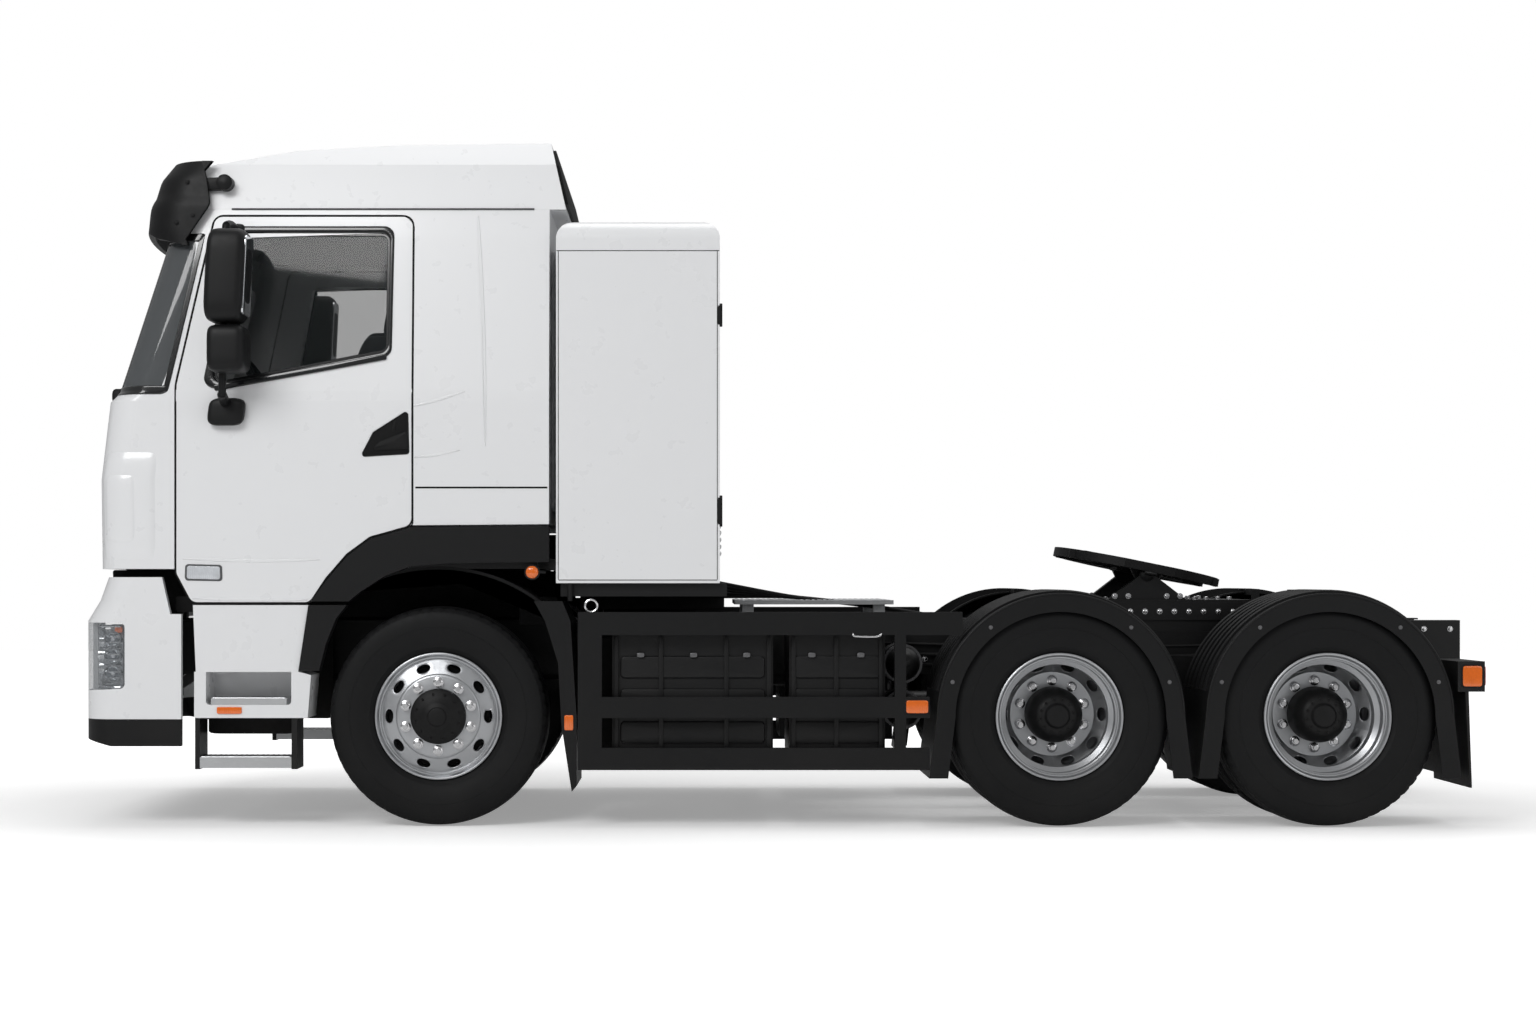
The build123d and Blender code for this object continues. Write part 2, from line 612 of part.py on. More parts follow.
def build_cab():
    """The cab's fixed body, doors, glass and front flap, all cut from one wall."""
    wall = hull() - (hull(CAB_WALL) - block(-3600, 0, -1300, 1300, 1000, 1000.5))
    glass_wall = hull(14) - hull(20)
    door_hole = side_prism(grown(DOOR_POINTS, SEAM), *SIDE_REACH)
    door_form = side_prism(grown(DOOR_POINTS, 0), *SIDE_REACH)
    window = side_prism(rounded(WINDOW_POINTS, WINDOW_ROUND), *SIDE_REACH)
    pane = side_prism(offset(rounded(WINDOW_POINTS, WINDOW_ROUND), amount=-SEAT_GAP), *SIDE_REACH)
    arch = side_plate(ARCH_POINTS, -1400, 1400)
    below = block(-3600, -1000, -1400, 1400, 900, CAB_BOTTOM_Z)

    door = (wall & door_form) - window
    pane = glass_wall & pane
    screen_hole = front_prism(SCREEN_POINTS, SCREEN_ROUND)
    flap_hole = front_prism(FLAP_POINTS, FLAP_ROUND, SEAM)
    screen = glass_wall & front_prism(SCREEN_POINTS, SCREEN_ROUND, -SEAT_GAP)
    flap = (wall & front_prism(FLAP_POINTS, FLAP_ROUND)) - hull(30)
    body = wall - below - arch - door_hole - other_side(door_hole) - screen_hole - flap_hole
    pins, lug, notch = flap_hinge()
    flap = joined([flap - notch] + pins)
    body = joined([body, lug])
    return body, door, pane, screen, flap


# ---------------------------------------------------------------------- roof
ROOF_SEAT_Z = CAB_TOP_Z + SEAT_GAP
ROOF_RISE = ROOF_TOP_Z - CAB_TOP_Z
ROOF_REAR_X = CAB_REAR_X + 80


def roof_z(share):
    """The height at a share of the roof's rise."""
    return CAB_TOP_Z + ROOF_RISE * share


ROOF_POINTS = ((-3062, ROOF_SEAT_Z), (-3040, roof_z(0.167)), (-2960, roof_z(0.454)),
               (-2861, roof_z(0.626)), (-2414, roof_z(0.879)), (-1900, roof_z(0.971)),
               (CAB_REAR_X, ROOF_TOP_Z), (ROOF_REAR_X, ROOF_SEAT_Z))
ROOF_ROOM = ((-2990, ROOF_SEAT_Z - 1), (-2900, roof_z(0.368)), (-2400, roof_z(0.690)),
             (-1900, roof_z(0.782)), (CAB_REAR_X - 75, roof_z(0.805)),
             (CAB_REAR_X - 75, ROOF_SEAT_Z - 1))
ROOF_SIDES = ((ROOF_SEAT_Z, ROOF_HALF), (roof_z(0.655), ROOF_HALF - 54),
              (ROOF_TOP_Z + 1, ROOF_HALF - 144))


def build_roof():
    """The roof, cut from a side outline and tapering sides; hollow from below."""
    side = side_plate(ROOF_POINTS, -HALF_WIDTH, HALF_WIDTH)
    room = side_plate(ROOF_ROOM, 114 - ROOF_HALF, ROOF_HALF - 114)
    right = [(half, z) for z, half in ROOF_SIDES]
    left = [(-half, z) for z, half in reversed(ROOF_SIDES)]
    taper = cross_bar(right + left, -3200, CAB_REAR_X + 200)
    plan = extrude(plan_face(ROOF_SEAT_Z - 5, -3062, ROOF_HALF, 200, ROOF_REAR_X),
                   amount=ROOF_RISE + 50)
    return (side & taper & plan) - room


# ----------------------------------------------------------------- cab floor
FLOOR_TOP_Z = CAB_BOTTOM_Z + 60
ARM_PLATE_Y = (385, 425)


NOSE_PLATE_HALF = 742


def build_cab_floor():
    """The floor with a nose plate and the two arms that hang on the pivot."""
    inner = HALF_WIDTH - CAB_WALL - SEAT_GAP
    deck = block(-3180, CAB_REAR_X - CAB_WALL - SEAT_GAP, -inner, inner, CAB_BOTTOM_Z + 1,
                 FLOOR_TOP_Z)
    nose = block(PIVOT_X - 38, -3170, -NOSE_PLATE_HALF, NOSE_PLATE_HALF, CAB_BOTTOM_Z + 1,
                 FLOOR_TOP_Z)
    eye = cross_tube(45, PIVOT_X, PIVOT_Z, *ARM_PLATE_Y)
    arm = block(PIVOT_X - 38, PIVOT_X + 45, *ARM_PLATE_Y, PIVOT_Z, FLOOR_TOP_Z - 2)
    bore = cross_tube(PIN_RADIUS + SEAT_GAP, PIVOT_X, PIVOT_Z, 300, 500)
    arms = both(joined([eye, arm]) - bore)
    return joined([deck, nose] + arms)


GRILLE_X = (PIVOT_X - 35, PIVOT_X - 12)
GRILLE_SPANS = ((-740, -430), (-380, 380), (430, 740))
GRILLE_BOTTOM_Z = 985
GRILLE_SLOT = 26
GRILLE_PITCH = 44


def build_lower_grille():
    """The dark grille under the front flap, in three spans between the tilt arms."""
    spans = []
    for y0, y1 in GRILLE_SPANS:
        span = block(*GRILLE_X, y0, y1, GRILLE_BOTTOM_Z, CAB_BOTTOM_Z + 1 - SEAT_GAP)
        for z in range(GRILLE_BOTTOM_Z + 26, CAB_BOTTOM_Z - GRILLE_SLOT, GRILLE_PITCH):
            span = span - block(GRILLE_X[0] - 5, GRILLE_X[1] + 5, y0 + 25, y1 - 25,
                                z, z + GRILLE_SLOT)
        spans.append(span)
    return spans


# ------------------------------------------------------------- arch flares
FLARE_OUTER = ((-2322, DOOR_BOTTOM_Z + 6), (-2244, 1210), (-2144, 1327), (-2032, 1410),
               (-1830, 1466), (CAB_REAR_X, 1472))
FLARE_INNER = ((CAB_REAR_X, 1296), (-1650, 1290), (-1840, 1274), (-1966, 1226), (-2084, 1150),
               (-2140, DOOR_BOTTOM_Z + 6))


def build_flares():
    points = list(FLARE_OUTER) + list(FLARE_INNER)
    return both(side_plate(points, HALF_WIDTH - CAB_WALL, HALF_WIDTH + 8))


FAIRING_TOP = (-2336, 1086)
FAIRING_LOW = (-2386, 760)


def build_arch_lowers():
    """The chassis half of the front arch: a dark band ahead of the wheel, a splash guard behind."""
    front = side_plate([(FAIRING_TOP[0] + SEAT_GAP, FAIRING_TOP[1]), (-2150, 1086), (-2200, 1022),
                        (-2250, 900), (-2284, 766), (FAIRING_LOW[0] + 2, 766)],
                       HALF_WIDTH - 80, HALF_WIDTH + 6)
    rear_outer = [(-1238, 1105), (-1100, 1105), (-1060, 1008), (-1030, 536), (-1030, 204),
                  (-1054, 176)]
    rear_inner = [(-1104, 500), (-1120, 803), (-1184, 1008)]
    lip = side_plate(rear_outer + rear_inner, HALF_WIDTH - 22, HALF_WIDTH - 2)
    skin = side_plate([(-1100, 1105), (-1060, 1008), (-1030, 536), (-1030, 204), (-1038, 204),
                       (-1038, 536), (-1068, 1006), (-1106, 1098)], 700, HALF_WIDTH - 4)
    stay = block(-1072, -1032, RAIL_OUTER_Y, 760, 940, 990)
    return both(front) + both(joined([lip, skin, stay]))


# --------------------------------------------------------------------- bumper
BUMPER_HALF = HALF_WIDTH - 4
BUMPER_SECTIONS = ((530, NOSE_X, BUMPER_HALF, 150), (1008, NOSE_X, BUMPER_HALF, 150),
                   (1108, NOSE_X + 60, BUMPER_HALF - 4, 150),
                   (1222, NOSE_X + 100, BUMPER_HALF - 8, 150))
BUMPER_REAR_X = -2957
BUMPER_WALL = 40
BUMPER_MIDDLE_TOP = 955
BUMPER_CORNER_Y = 760
LAMP_FACE = ((-3560, 662), (-3232, 680), (-3232, 1000), (-3560, 1000))


def build_bumper():
    outer = loft([plan_face(z, x, half, corner, BUMPER_REAR_X)
                  for z, x, half, corner in BUMPER_SECTIONS], ruled=True)
    inner = loft([plan_face(z, x + BUMPER_WALL, half - BUMPER_WALL, corner - 30,
                            BUMPER_REAR_X + 100) for z, x, half, corner in BUMPER_SECTIONS],
                 ruled=True)
    shell = outer - inner
    middle = block(-3600, -2900, -BUMPER_CORNER_Y, BUMPER_CORNER_Y, BUMPER_MIDDLE_TOP, 1300)
    notch = side_plate([(-3052, 1300), (-3052, 1222), (-3010, 1042), (-2900, 1042),
                        (-2900, 1300)], -1300, 1300)
    shell = shell - middle - notch
    lamp_form = side_plate(LAMP_FACE, 905, 1300, radius=24)
    lamp_room = side_prism(offset(rounded(LAMP_FACE, 24), amount=SEAT_GAP),
                           905 - SEAT_GAP, 1300)
    lamps = shell & lamp_form
    shell = shell - lamp_room - other_side(lamp_room)
    ribs = both(block(NOSE_X + 30, UNDERRUN_X[0] - SEAT_GAP, 350, 450, 590, 680))
    return joined([shell] + ribs), lamps


def build_bumper_lip():
    face = plan_face(390, NOSE_X, BUMPER_HALF, 150, BUMPER_REAR_X)
    hollow = plan_face(380, NOSE_X + BUMPER_WALL, BUMPER_HALF - BUMPER_WALL, 120,
                       BUMPER_REAR_X + 100)
    ring = extrude(face, amount=139.7) - extrude(hollow, amount=200)
    side = side_plate([(-3560, 530 - SEAT_GAP), (-3560, 462), (-3300, 398), (-2900, 398),
                       (-2900, 530 - SEAT_GAP)], -1300, 1300)
    return ring & side


# ---------------------------------------------------------------------- steps
STEP_X = (-2893, -2318)
STEP_Y = (HALF_WIDTH - 280, HALF_WIDTH - 4)
STEP_BACK_Y = HALF_WIDTH - 220


def build_step_fairings():
    """White side fairings with the recess of the upper step."""
    upper = side_plate([(-2899, FAIRING_TOP[1]), FAIRING_TOP, FAIRING_LOW, (-2885, 760)],
                       HALF_WIDTH - 60, HALF_WIDTH - 4)
    shelf = block(-2890, -2345, STEP_BACK_Y - 20, HALF_WIDTH - 50, 1060, 1086)
    lower = side_plate([(STEP_X[0], 761), (-2384, 761), (STEP_X[1] - 6, 745), (-2340, 536),
                        (STEP_X[0], 536)], *STEP_Y)
    recess = side_plate([(-2836, 800), (-2420, 800), (-2420, 600), (-2836, 600)],
                        STEP_BACK_Y - 20, HALF_WIDTH + 60, radius=18)
    back = block(-2890, -2396, STEP_BACK_Y - 20, STEP_BACK_Y, 740, 1080)
    return both(joined([upper, shelf, lower - recess, back]))


TREADS = ((-2812, -2444, STEP_BACK_Y + SEAT_GAP, 600 + SEAT_GAP, 632),
          (-2866, -2420, STEP_BACK_Y + 10, 292, 345))


def build_steps():
    """The step treads and the dark hangers of the lower step."""
    hangers = []
    for x0, x1 in ((-2890, -2866.3), (-2419.7, -2392)):
        hangers.append(block(x0, x1, STEP_BACK_Y + 10, HALF_WIDTH - 10, 286, 536 - SEAT_GAP))
    arm = block(-2760, -2480, RAIL_OUTER_Y, STEP_Y[0] - SEAT_GAP, 640, 740)
    treads = [block(x0, x1, y0, HALF_WIDTH - 8, z0, z1) for x0, x1, y0, z0, z1 in TREADS]
    return hangers, treads, arm


# ------------------------------------------------------------- cab fittings
VISOR_HALF = HALF_WIDTH - 122
VISOR_ARM_Y = (VISOR_HALF - 6, HALF_WIDTH - 74)


def build_visor(roof):
    """The outside sun visor over the windscreen, on two arms at the roof's sides."""
    profile = outline([(-3216, 2902), (-3196, 2884), (-3106, 2990), (-3078, 3150), (-3000, 3226),
                       (-3060, 3240), (-3150, 3190), (-3226, 3010)])
    visor = side_prism(profile, -VISOR_HALF, VISOR_HALF)
    arm = side_plate([(-3120, 3060), (-3120, 3150), (-2800, 3180), (-2800, 3120)], *VISOR_ARM_Y)
    boss = cross_tube(42, -2790, 3146, *VISOR_ARM_Y)
    return joined([visor] + both(arm + boss)) - roof


def build_dashboard():
    desk = side_plate([(-3180, 1700), (-3200, 2060), (-2960, 2100), (-2800, 2010), (-2820, 1760),
                       (-2980, 1650)], -1100, 1100)
    column = rod((-2900, -560, 1980), (-2640, -560, 2140), 32)
    along = Vector(-2640 + 2900, 0, 2140 - 1980).normalized()
    wheel_plane = Plane(origin=(-2640, -560, 2140), z_dir=along)
    rim = wheel_plane * Torus(225, 16)
    spokes = [wheel_plane * Rot(0, 0, a) * Pos(110, 0, 0) * Box(226, 34, 16)
              for a in (0, 130, 230)]
    leg = block(-3100, -2960, -1000, 1000, FLOOR_TOP_Z + SEAT_GAP, 1700)
    return joined([desk, column, rim, leg] + spokes)


def build_seats():
    seats = []
    for y in (-560, 560):
        base = block(-2560, -2160, y - 180, y + 180, FLOOR_TOP_Z + SEAT_GAP, 1640)
        cushion = side_plate([(-2640, 1630), (-2640, 1760), (-2120, 1740), (-2120, 1620)],
                             y - 250, y + 250, radius=40)
        back = side_plate([(-2240, 1700), (-2110, 1700), (-1960, 2440), (-2060, 2460)],
                          y - 240, y + 240, radius=40)
        head = side_plate([(-2060, 2440), (-1960, 2430), (-1930, 2640), (-2010, 2650)],
                          y - 130, y + 130, radius=30)
        seats.append(joined([base, cushion, back, head]))
    return seats


MIRROR_Y = HALF_WIDTH + 90
MIRROR_STEM_X = (-2750, -2700)


def mirror_set():
    """The right door's mirrors: a main and a wide-angle housing on a bent arm."""
    main = side_plate([(-2826, 2440), (-2640, 2440), (-2620, 2900), (-2800, 2900)],
                      MIRROR_Y, MIRROR_Y + 260, radius=40)
    wide = side_plate([(-2820, 2210), (-2630, 2210), (-2640, 2420), (-2820, 2420)],
                      MIRROR_Y, MIRROR_Y + 240, radius=40)
    stem = block(*MIRROR_STEM_X, MIRROR_Y + 50, MIRROR_Y + 100, 2120, 2910)
    foot = side_plate([(-2812, 1960), (-2660, 1960), (-2640, 2090), (-2816, 2070)],
                      HALF_WIDTH + SEAT_GAP, HALF_WIDTH + 60, radius=20)
    link = block(*MIRROR_STEM_X, HALF_WIDTH + 10, MIRROR_Y + 100, 2050, 2120)
    top_arm = block(-2740, -2660, HALF_WIDTH - 40, MIRROR_Y + 100, 2905, 2945)
    return joined([main, wide, stem, foot, link, top_arm])


# ---------------------------------------------------------------------- write
if __name__ == "__main__":
    save("frame", build_frame())
    save("front_axle", build_front_axle())
    right_knuckle = knuckle()
    save("knuckle_right", right_knuckle)
    save("knuckle_left", other_side(right_knuckle))
    save("tie_rod", build_tie_rod())
    save("drive_axles", *build_drive_axles())
    save("rear_suspension", *build_rear_suspension())
    save("motor", build_driveline())
    save("prop_shafts", *build_prop_shafts())
    save("side_modules", *build_side_modules())
    save("side_guards", *both(side_guard()))
    save("cabinet", build_cabinet())
    save("cabinet_cradle", build_cradle())
    save("walkway", build_walkway())
    save("coupler_base", build_coupler_base())
    tilted = Pos(COUPLER_X, 0, COUPLER_Z) * Rot(0, COUPLER_REST, 0) * coupler_plate()
    save("coupler_plate", tilted)
    save("rear_mudguards", *build_mudguards())
    save("rear_lamp_bar", *build_lamp_bar())

    single = front_wheel()
    twin = twin_wheel()
    middle_y = (TWIN_OUTER_Y + TWIN_INNER_Y) / 2
    for name, sign in (("left", -1), ("right", 1)):
        save(f"tyre_front_{name}", tyre(sign * FRONT_WHEEL_Y, FRONT_AXLE_X))
        placed = Pos(FRONT_AXLE_X, FRONT_WHEEL_Y, HUB_Z) * single
        save(f"wheel_front_{name}", placed if sign > 0 else other_side(placed))
        for number, x in enumerate(DRIVE_AXLES_X, start=1):
            save(f"tyres_drive{number}_{name}", tyre(sign * TWIN_OUTER_Y, x),
                 tyre(sign * TWIN_INNER_Y, x))
            placed = Pos(x, middle_y, HUB_Z) * twin
            save(f"wheels_drive{number}_{name}", placed if sign > 0 else other_side(placed))

    body, door, pane, screen, flap = build_cab()
    save("cab_shell", body)
    save("door_right", door)
    save("door_left", other_side(door))
    save("door_glass_right", pane)
    save("door_glass_left", other_side(pane))
    save("windscreen", screen)
    save("front_flap", flap)
    roof = build_roof()
    save("cab_roof", roof)
    save("cab_floor", build_cab_floor())
    save("lower_grille", *build_lower_grille())
    save("arch_flares", *build_flares())
    save("arch_lowers", *build_arch_lowers())
    bumper, lamp = build_bumper()
    save("bumper", bumper)
    save("headlamps", *both(lamp))
    save("bumper_lip", build_bumper_lip())
    save("step_fairings", *build_step_fairings())
    hangers, treads, arm = build_steps()
    save("step_treads", *[s for t in treads for s in both(t)])
    save("step_hangers", *[s for t in hangers + [arm] for s in both(t)])
    save("sun_visor", build_visor(roof))
    save("dashboard", build_dashboard())
    save("seats", *build_seats())
    mirrors = mirror_set()
    save("mirror_right", mirrors)
    save("mirror_left", other_side(mirrors))
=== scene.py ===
import math
from collections import namedtuple

import bpy
import numpy as np
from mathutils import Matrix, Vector


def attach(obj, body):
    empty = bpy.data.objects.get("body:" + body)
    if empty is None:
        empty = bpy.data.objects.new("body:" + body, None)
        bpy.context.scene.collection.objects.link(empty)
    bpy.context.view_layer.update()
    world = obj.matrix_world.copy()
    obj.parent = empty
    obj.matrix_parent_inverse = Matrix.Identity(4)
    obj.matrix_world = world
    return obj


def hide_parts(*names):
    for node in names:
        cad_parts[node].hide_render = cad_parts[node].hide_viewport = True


bl_info = {
    "name": "Tractor Unit Finish",
    "version": (1, 0, 0),
    "blender": (4, 5, 0),
    "location": "View3D > Sidebar > Tractor Unit",
    "description": "Dresses a cab-over tractor unit with tyres, trim, lamps, seats and paint",
    "category": "Object",
}

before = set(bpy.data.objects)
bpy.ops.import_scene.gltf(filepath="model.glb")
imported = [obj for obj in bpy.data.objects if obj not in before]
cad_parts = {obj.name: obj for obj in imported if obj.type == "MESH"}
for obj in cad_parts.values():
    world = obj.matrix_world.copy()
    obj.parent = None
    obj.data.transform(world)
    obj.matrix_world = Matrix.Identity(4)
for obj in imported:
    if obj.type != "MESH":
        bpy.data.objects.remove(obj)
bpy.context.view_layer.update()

SIDES = {"left": -1.0, "right": 1.0}

# The order that turns a face round. A triangle is a quad whose last two corners are one, and stays so.
TURNED_ROUND = [1, 0, 3, 2]

# ------------------------------------------------------------------ shapes


def grid_faces(rows, columns, wrap_rows, wrap_columns):
    """Quads over a grid of points; each joins a point to its next row and next column."""
    row = np.arange(rows if wrap_rows else rows - 1)
    column = np.arange(columns if wrap_columns else columns - 1)
    r, c = np.meshgrid(row, column, indexing="ij")
    r_next, c_next = (r + 1) % rows, (c + 1) % columns
    corners = (r * columns + c, r_next * columns + c, r_next * columns + c_next, r * columns + c_next)
    return np.stack(corners, axis=-1).reshape(-1, 4)


def outward(points, faces):
    """Turns every face round where the signed volume, the sum of a . (b x c) / 6, is negative."""
    volume = 0.0
    for quad in (faces[:, [0, 1, 2]], faces[:, [0, 2, 3]]):
        a, b, c = (points[quad[:, i]] for i in range(3))
        volume += np.einsum("ij,ij->", a, np.cross(b, c)) / 6
    return faces[:, TURNED_ROUND] if volume < 0 else faces


def tube_surface(rings, closed_path=False):
    """A closed skin over rings of points (ring, point, xyz); open paths end in fans to their middles."""
    rings = np.asarray(rings, dtype=float)
    count, around = rings.shape[:2]
    points = rings.reshape(-1, 3)
    faces = grid_faces(count, around, closed_path, True)
    if not closed_path:
        ends = np.stack([rings[0].mean(axis=0), rings[-1].mean(axis=0)])
        points = np.vstack([points, ends])
        i = np.arange(around)
        j = (i + 1) % around
        first, last = count * around, count * around + 1
        base = (count - 1) * around
        head = np.stack([i, j, np.full(around, first), np.full(around, first)], axis=-1)
        tail = np.stack([base + j, base + i, np.full(around, last), np.full(around, last)], axis=-1)
        faces = np.vstack([faces, head, tail])
    return points, outward(points, faces)


def lathe(profile, centre, segments=96):
    """A closed profile of (radius, y) turned about the Y axis through centre: x = r cos t, z = r sin t."""
    profile = np.asarray(profile, dtype=float)
    t = np.linspace(0, 2 * np.pi, segments, endpoint=False)[:, None]
    radius, y = profile[None, :, 0], profile[None, :, 1]
    rings = np.stack([radius * np.cos(t), np.broadcast_to(y, (segments, len(profile))),
                      radius * np.sin(t)], axis=-1)
    return tube_surface(rings + np.asarray(centre), closed_path=True)


def turned(profile, centre, segments=48):
    """An open profile from axis to axis, (radius, y) rows, turned about Y with a point at each pole."""
    profile = np.asarray(profile, dtype=float)
    t = np.linspace(0, 2 * np.pi, segments, endpoint=False)[None, :]
    radius, y = profile[:, 0, None], profile[:, 1, None]
    rings = np.stack([radius * np.cos(t), np.broadcast_to(y, (len(profile), segments)),
                      radius * np.sin(t)], axis=-1)
    return tube_surface(rings + np.asarray(centre))


def rounded_loop(corners, radius, steps=5):
    """Corner points joined by straight runs, each corner cut by an arc tangent to both runs."""
    corners = np.asarray(corners, dtype=float)
    before, after = np.roll(corners, 1, axis=0), np.roll(corners, -1, axis=0)
    to_before, to_after = before - corners, after - corners
    length_b = np.linalg.norm(to_before, axis=1)
    length_a = np.linalg.norm(to_after, axis=1)
    u, v = to_before / length_b[:, None], to_after / length_a[:, None]
    half = np.arccos(np.clip(np.einsum("ij,ij->i", u, v), -1, 1)) / 2
    reach = np.minimum(np.broadcast_to(radius, half.shape) / np.tan(half),
                       0.49 * np.minimum(length_a, length_b))
    real = reach * np.tan(half)
    middle = u + v
    middle /= np.linalg.norm(middle, axis=1)[:, None]
    hub = corners + middle * (real / np.sin(half))[:, None]
    start, end = corners + u * reach[:, None], corners + v * reach[:, None]
    s = np.linspace(0, 1, steps)[None, :, None]
    blend = (start[:, None] - hub[:, None]) * (1 - s) + (end[:, None] - hub[:, None]) * s
    blend /= np.linalg.norm(blend, axis=2)[:, :, None]
    return (hub[:, None] + blend * real[:, None, None]).reshape(-1, 2)


def rounded_rectangle(low, high, radius, steps=5):
    """A rectangle between two opposite corners, with its corners rounded."""
    return rounded_loop([low, (high[0], low[1]), high, (low[0], high[1])], radius, steps)


def dense(loop, step):
    """A loop with its long straight runs cut into short ones."""
    after = np.roll(loop, -1, axis=0)
    counts = np.maximum(1, np.ceil(np.linalg.norm(after - loop, axis=1) / step).astype(int))
    first = np.repeat(np.cumsum(counts) - counts, counts)
    share = (np.arange(counts.sum()) - first) / np.repeat(counts, counts)
    return np.repeat(loop, counts, axis=0) + np.repeat(after - loop, counts, axis=0) * share[:, None]


def inset_loop(loop, amount):
    """A closed flat loop moved inwards by an amount along its corner normals."""
    ahead, behind = np.roll(loop, -1, axis=0), np.roll(loop, 1, axis=0)
    tangent = ahead - behind
    tangent /= np.maximum(np.linalg.norm(tangent, axis=1), 1e-9)[:, None]
    area = np.sum(loop[:, 0] * ahead[:, 1] - loop[:, 1] * ahead[:, 0])
    normal = np.stack([-tangent[:, 1], tangent[:, 0]], axis=1) * np.sign(area)
    return loop + normal * amount


def pillow_plate(loop, low, high, edge, place):
    """A plate over a flat loop between two depths; its rim is a quarter round of radius edge."""
    t = np.linspace(0, np.pi / 2, 4)
    rise, draw_in = edge * (1 - np.sin(t)), edge * (1 - np.cos(t))
    rows = sorted(zip([*(low + rise), *(high - rise)], [*draw_in, *draw_in]))
    return tube_surface([place(inset_loop(loop, inwards), depth) for depth, inwards in rows])


def on_side(loop, depth):
    """A loop of (x, z) placed at y = depth."""
    return np.stack([loop[:, 0], np.full(len(loop), depth), loop[:, 1]], axis=1)


def on_front(loop, depth):
    """A loop of (y, z) placed at x = depth."""
    return np.stack([np.full(len(loop), depth), loop[:, 0], loop[:, 1]], axis=1)


def on_top(loop, depth):
    """A loop of (x, y) placed at z = depth."""
    return np.stack([loop[:, 0], loop[:, 1], np.full(len(loop), depth)], axis=1)


def soft_box(low, high, power=5.0, rows=14, columns=32, lean=(0.0, 0.0)):
    """A superellipsoid: each axis is a signed power of the sphere's sines and cosines. Lean shears x
    and y by the height over the middle."""
    low, high = np.asarray(low, dtype=float), np.asarray(high, dtype=float)
    centre, half = (low + high) / 2, (high - low) / 2
    e = 2 / power
    lift = np.linspace(-np.pi / 2, np.pi / 2, rows + 2)[1:-1, None]
    turn = np.linspace(0, 2 * np.pi, columns, endpoint=False)[None, :]

    def bent(value):
        return np.sign(value) * np.abs(value) ** e

    x = bent(np.cos(lift)) * bent(np.cos(turn))
    y = bent(np.cos(lift)) * bent(np.sin(turn))
    z = np.broadcast_to(bent(np.sin(lift)), x.shape)
    rings = np.stack([x, y, z], axis=-1) * half + centre
    rings[..., :2] += (rings[..., 2:] - centre[2]) * lean
    return tube_surface(rings)


def smooth_path(points, steps=8):
    """A Catmull-Rom curve through points: cubic blends of each four neighbours."""
    points = np.asarray(points, dtype=float)
    padded = np.vstack([2 * points[0] - points[1], points, 2 * points[-1] - points[-2]])
    t = np.linspace(0, 1, steps, endpoint=False)[None, :, None]
    a, b, c, d = (padded[i:len(padded) - 3 + i, None] for i in range(4))
    curve = 0.5 * (2 * b + (c - a) * t + (2 * a - 5 * b + 4 * c - d) * t ** 2
                   + (3 * b - 3 * c + d - a) * t ** 3)
    return np.vstack([curve.reshape(-1, points.shape[1]), points[-1:]])


def carried(path, profile, up=(0.0, 0.0, 1.0), closed_path=False):
    """A flat profile carried along a path: offset a along the side vector and b along the lifted one."""
    path, profile = np.asarray(path, dtype=float), np.asarray(profile, dtype=float)
    if closed_path:
        tangent = np.roll(path, -1, axis=0) - np.roll(path, 1, axis=0)
    else:
        tangent = np.gradient(path, axis=0)
    tangent /= np.linalg.norm(tangent, axis=1)[:, None]
    side = np.cross(tangent, np.asarray(up, dtype=float))
    side /= np.maximum(np.linalg.norm(side, axis=1), 1e-9)[:, None]
    lift = np.cross(side, tangent)
    rings = (path[:, None] + side[:, None] * profile[None, :, 0, None]
             + lift[:, None] * profile[None, :, 1, None])
    return tube_surface(rings, closed_path)


def circle_loop(radius, count=12):
    """Points evenly round a circle."""
    t = np.linspace(0, 2 * np.pi, count, endpoint=False)
    return np.stack([radius * np.cos(t), radius * np.sin(t)], axis=1)


def bar(start, end, radius, count=12):
    """A round bar between two points, its rim a small quarter round at each end."""
    start, end = np.asarray(start, dtype=float), np.asarray(end, dtype=float)
    along = (end - start) / np.linalg.norm(end - start)
    up = (0.0, 0.0, 1.0) if abs(along[2]) < 0.9 else (1.0, 0.0, 0.0)
    side = np.cross(along, up)
    side /= np.linalg.norm(side)
    lift = np.cross(side, along)
    ease = min(radius * 0.25, 0.004)
    loop = circle_loop(1.0, count)
    flat = loop[:, :1] * side + loop[:, 1:] * lift
    stations = ((start, radius - ease), (start + along * ease, radius),
                (end - along * ease, radius), (end, radius - ease))
    return tube_surface(np.array([at + flat * r for at, r in stations]))


def joined(shapes):
    """Several point and face arrays as one pair."""
    points, faces, offset = [], [], 0
    for p, f in shapes:
        points.append(p)
        faces.append(f + offset)
        offset += len(p)
    return np.vstack(points), np.vstack(faces)


def repeated(shape, places):
    """Copies of one shape at many places, by broadcasting its points over the offsets."""
    points, faces = shape
    places = np.asarray(places, dtype=float).reshape(-1, 3)
    all_points = (points[None] + places[:, None]).reshape(-1, 3)
    all_faces = (faces[None] + (np.arange(len(places)) * len(points))[:, None, None]).reshape(-1, 4)
    return all_points, all_faces


def moved(shape, centre):
    """A shape shifted to a centre."""
    return shape[0] + np.asarray(centre), shape[1]


def mirrored(shape):
    """The shape on the other side of the vehicle: y changes sign and faces turn round."""
    points, faces = shape
    return points * (1.0, -1.0, 1.0), faces[:, TURNED_ROUND]


def both_sides(shape):
    """A right-hand shape and its mirror image as one."""
    return joined([shape, mirrored(shape)])


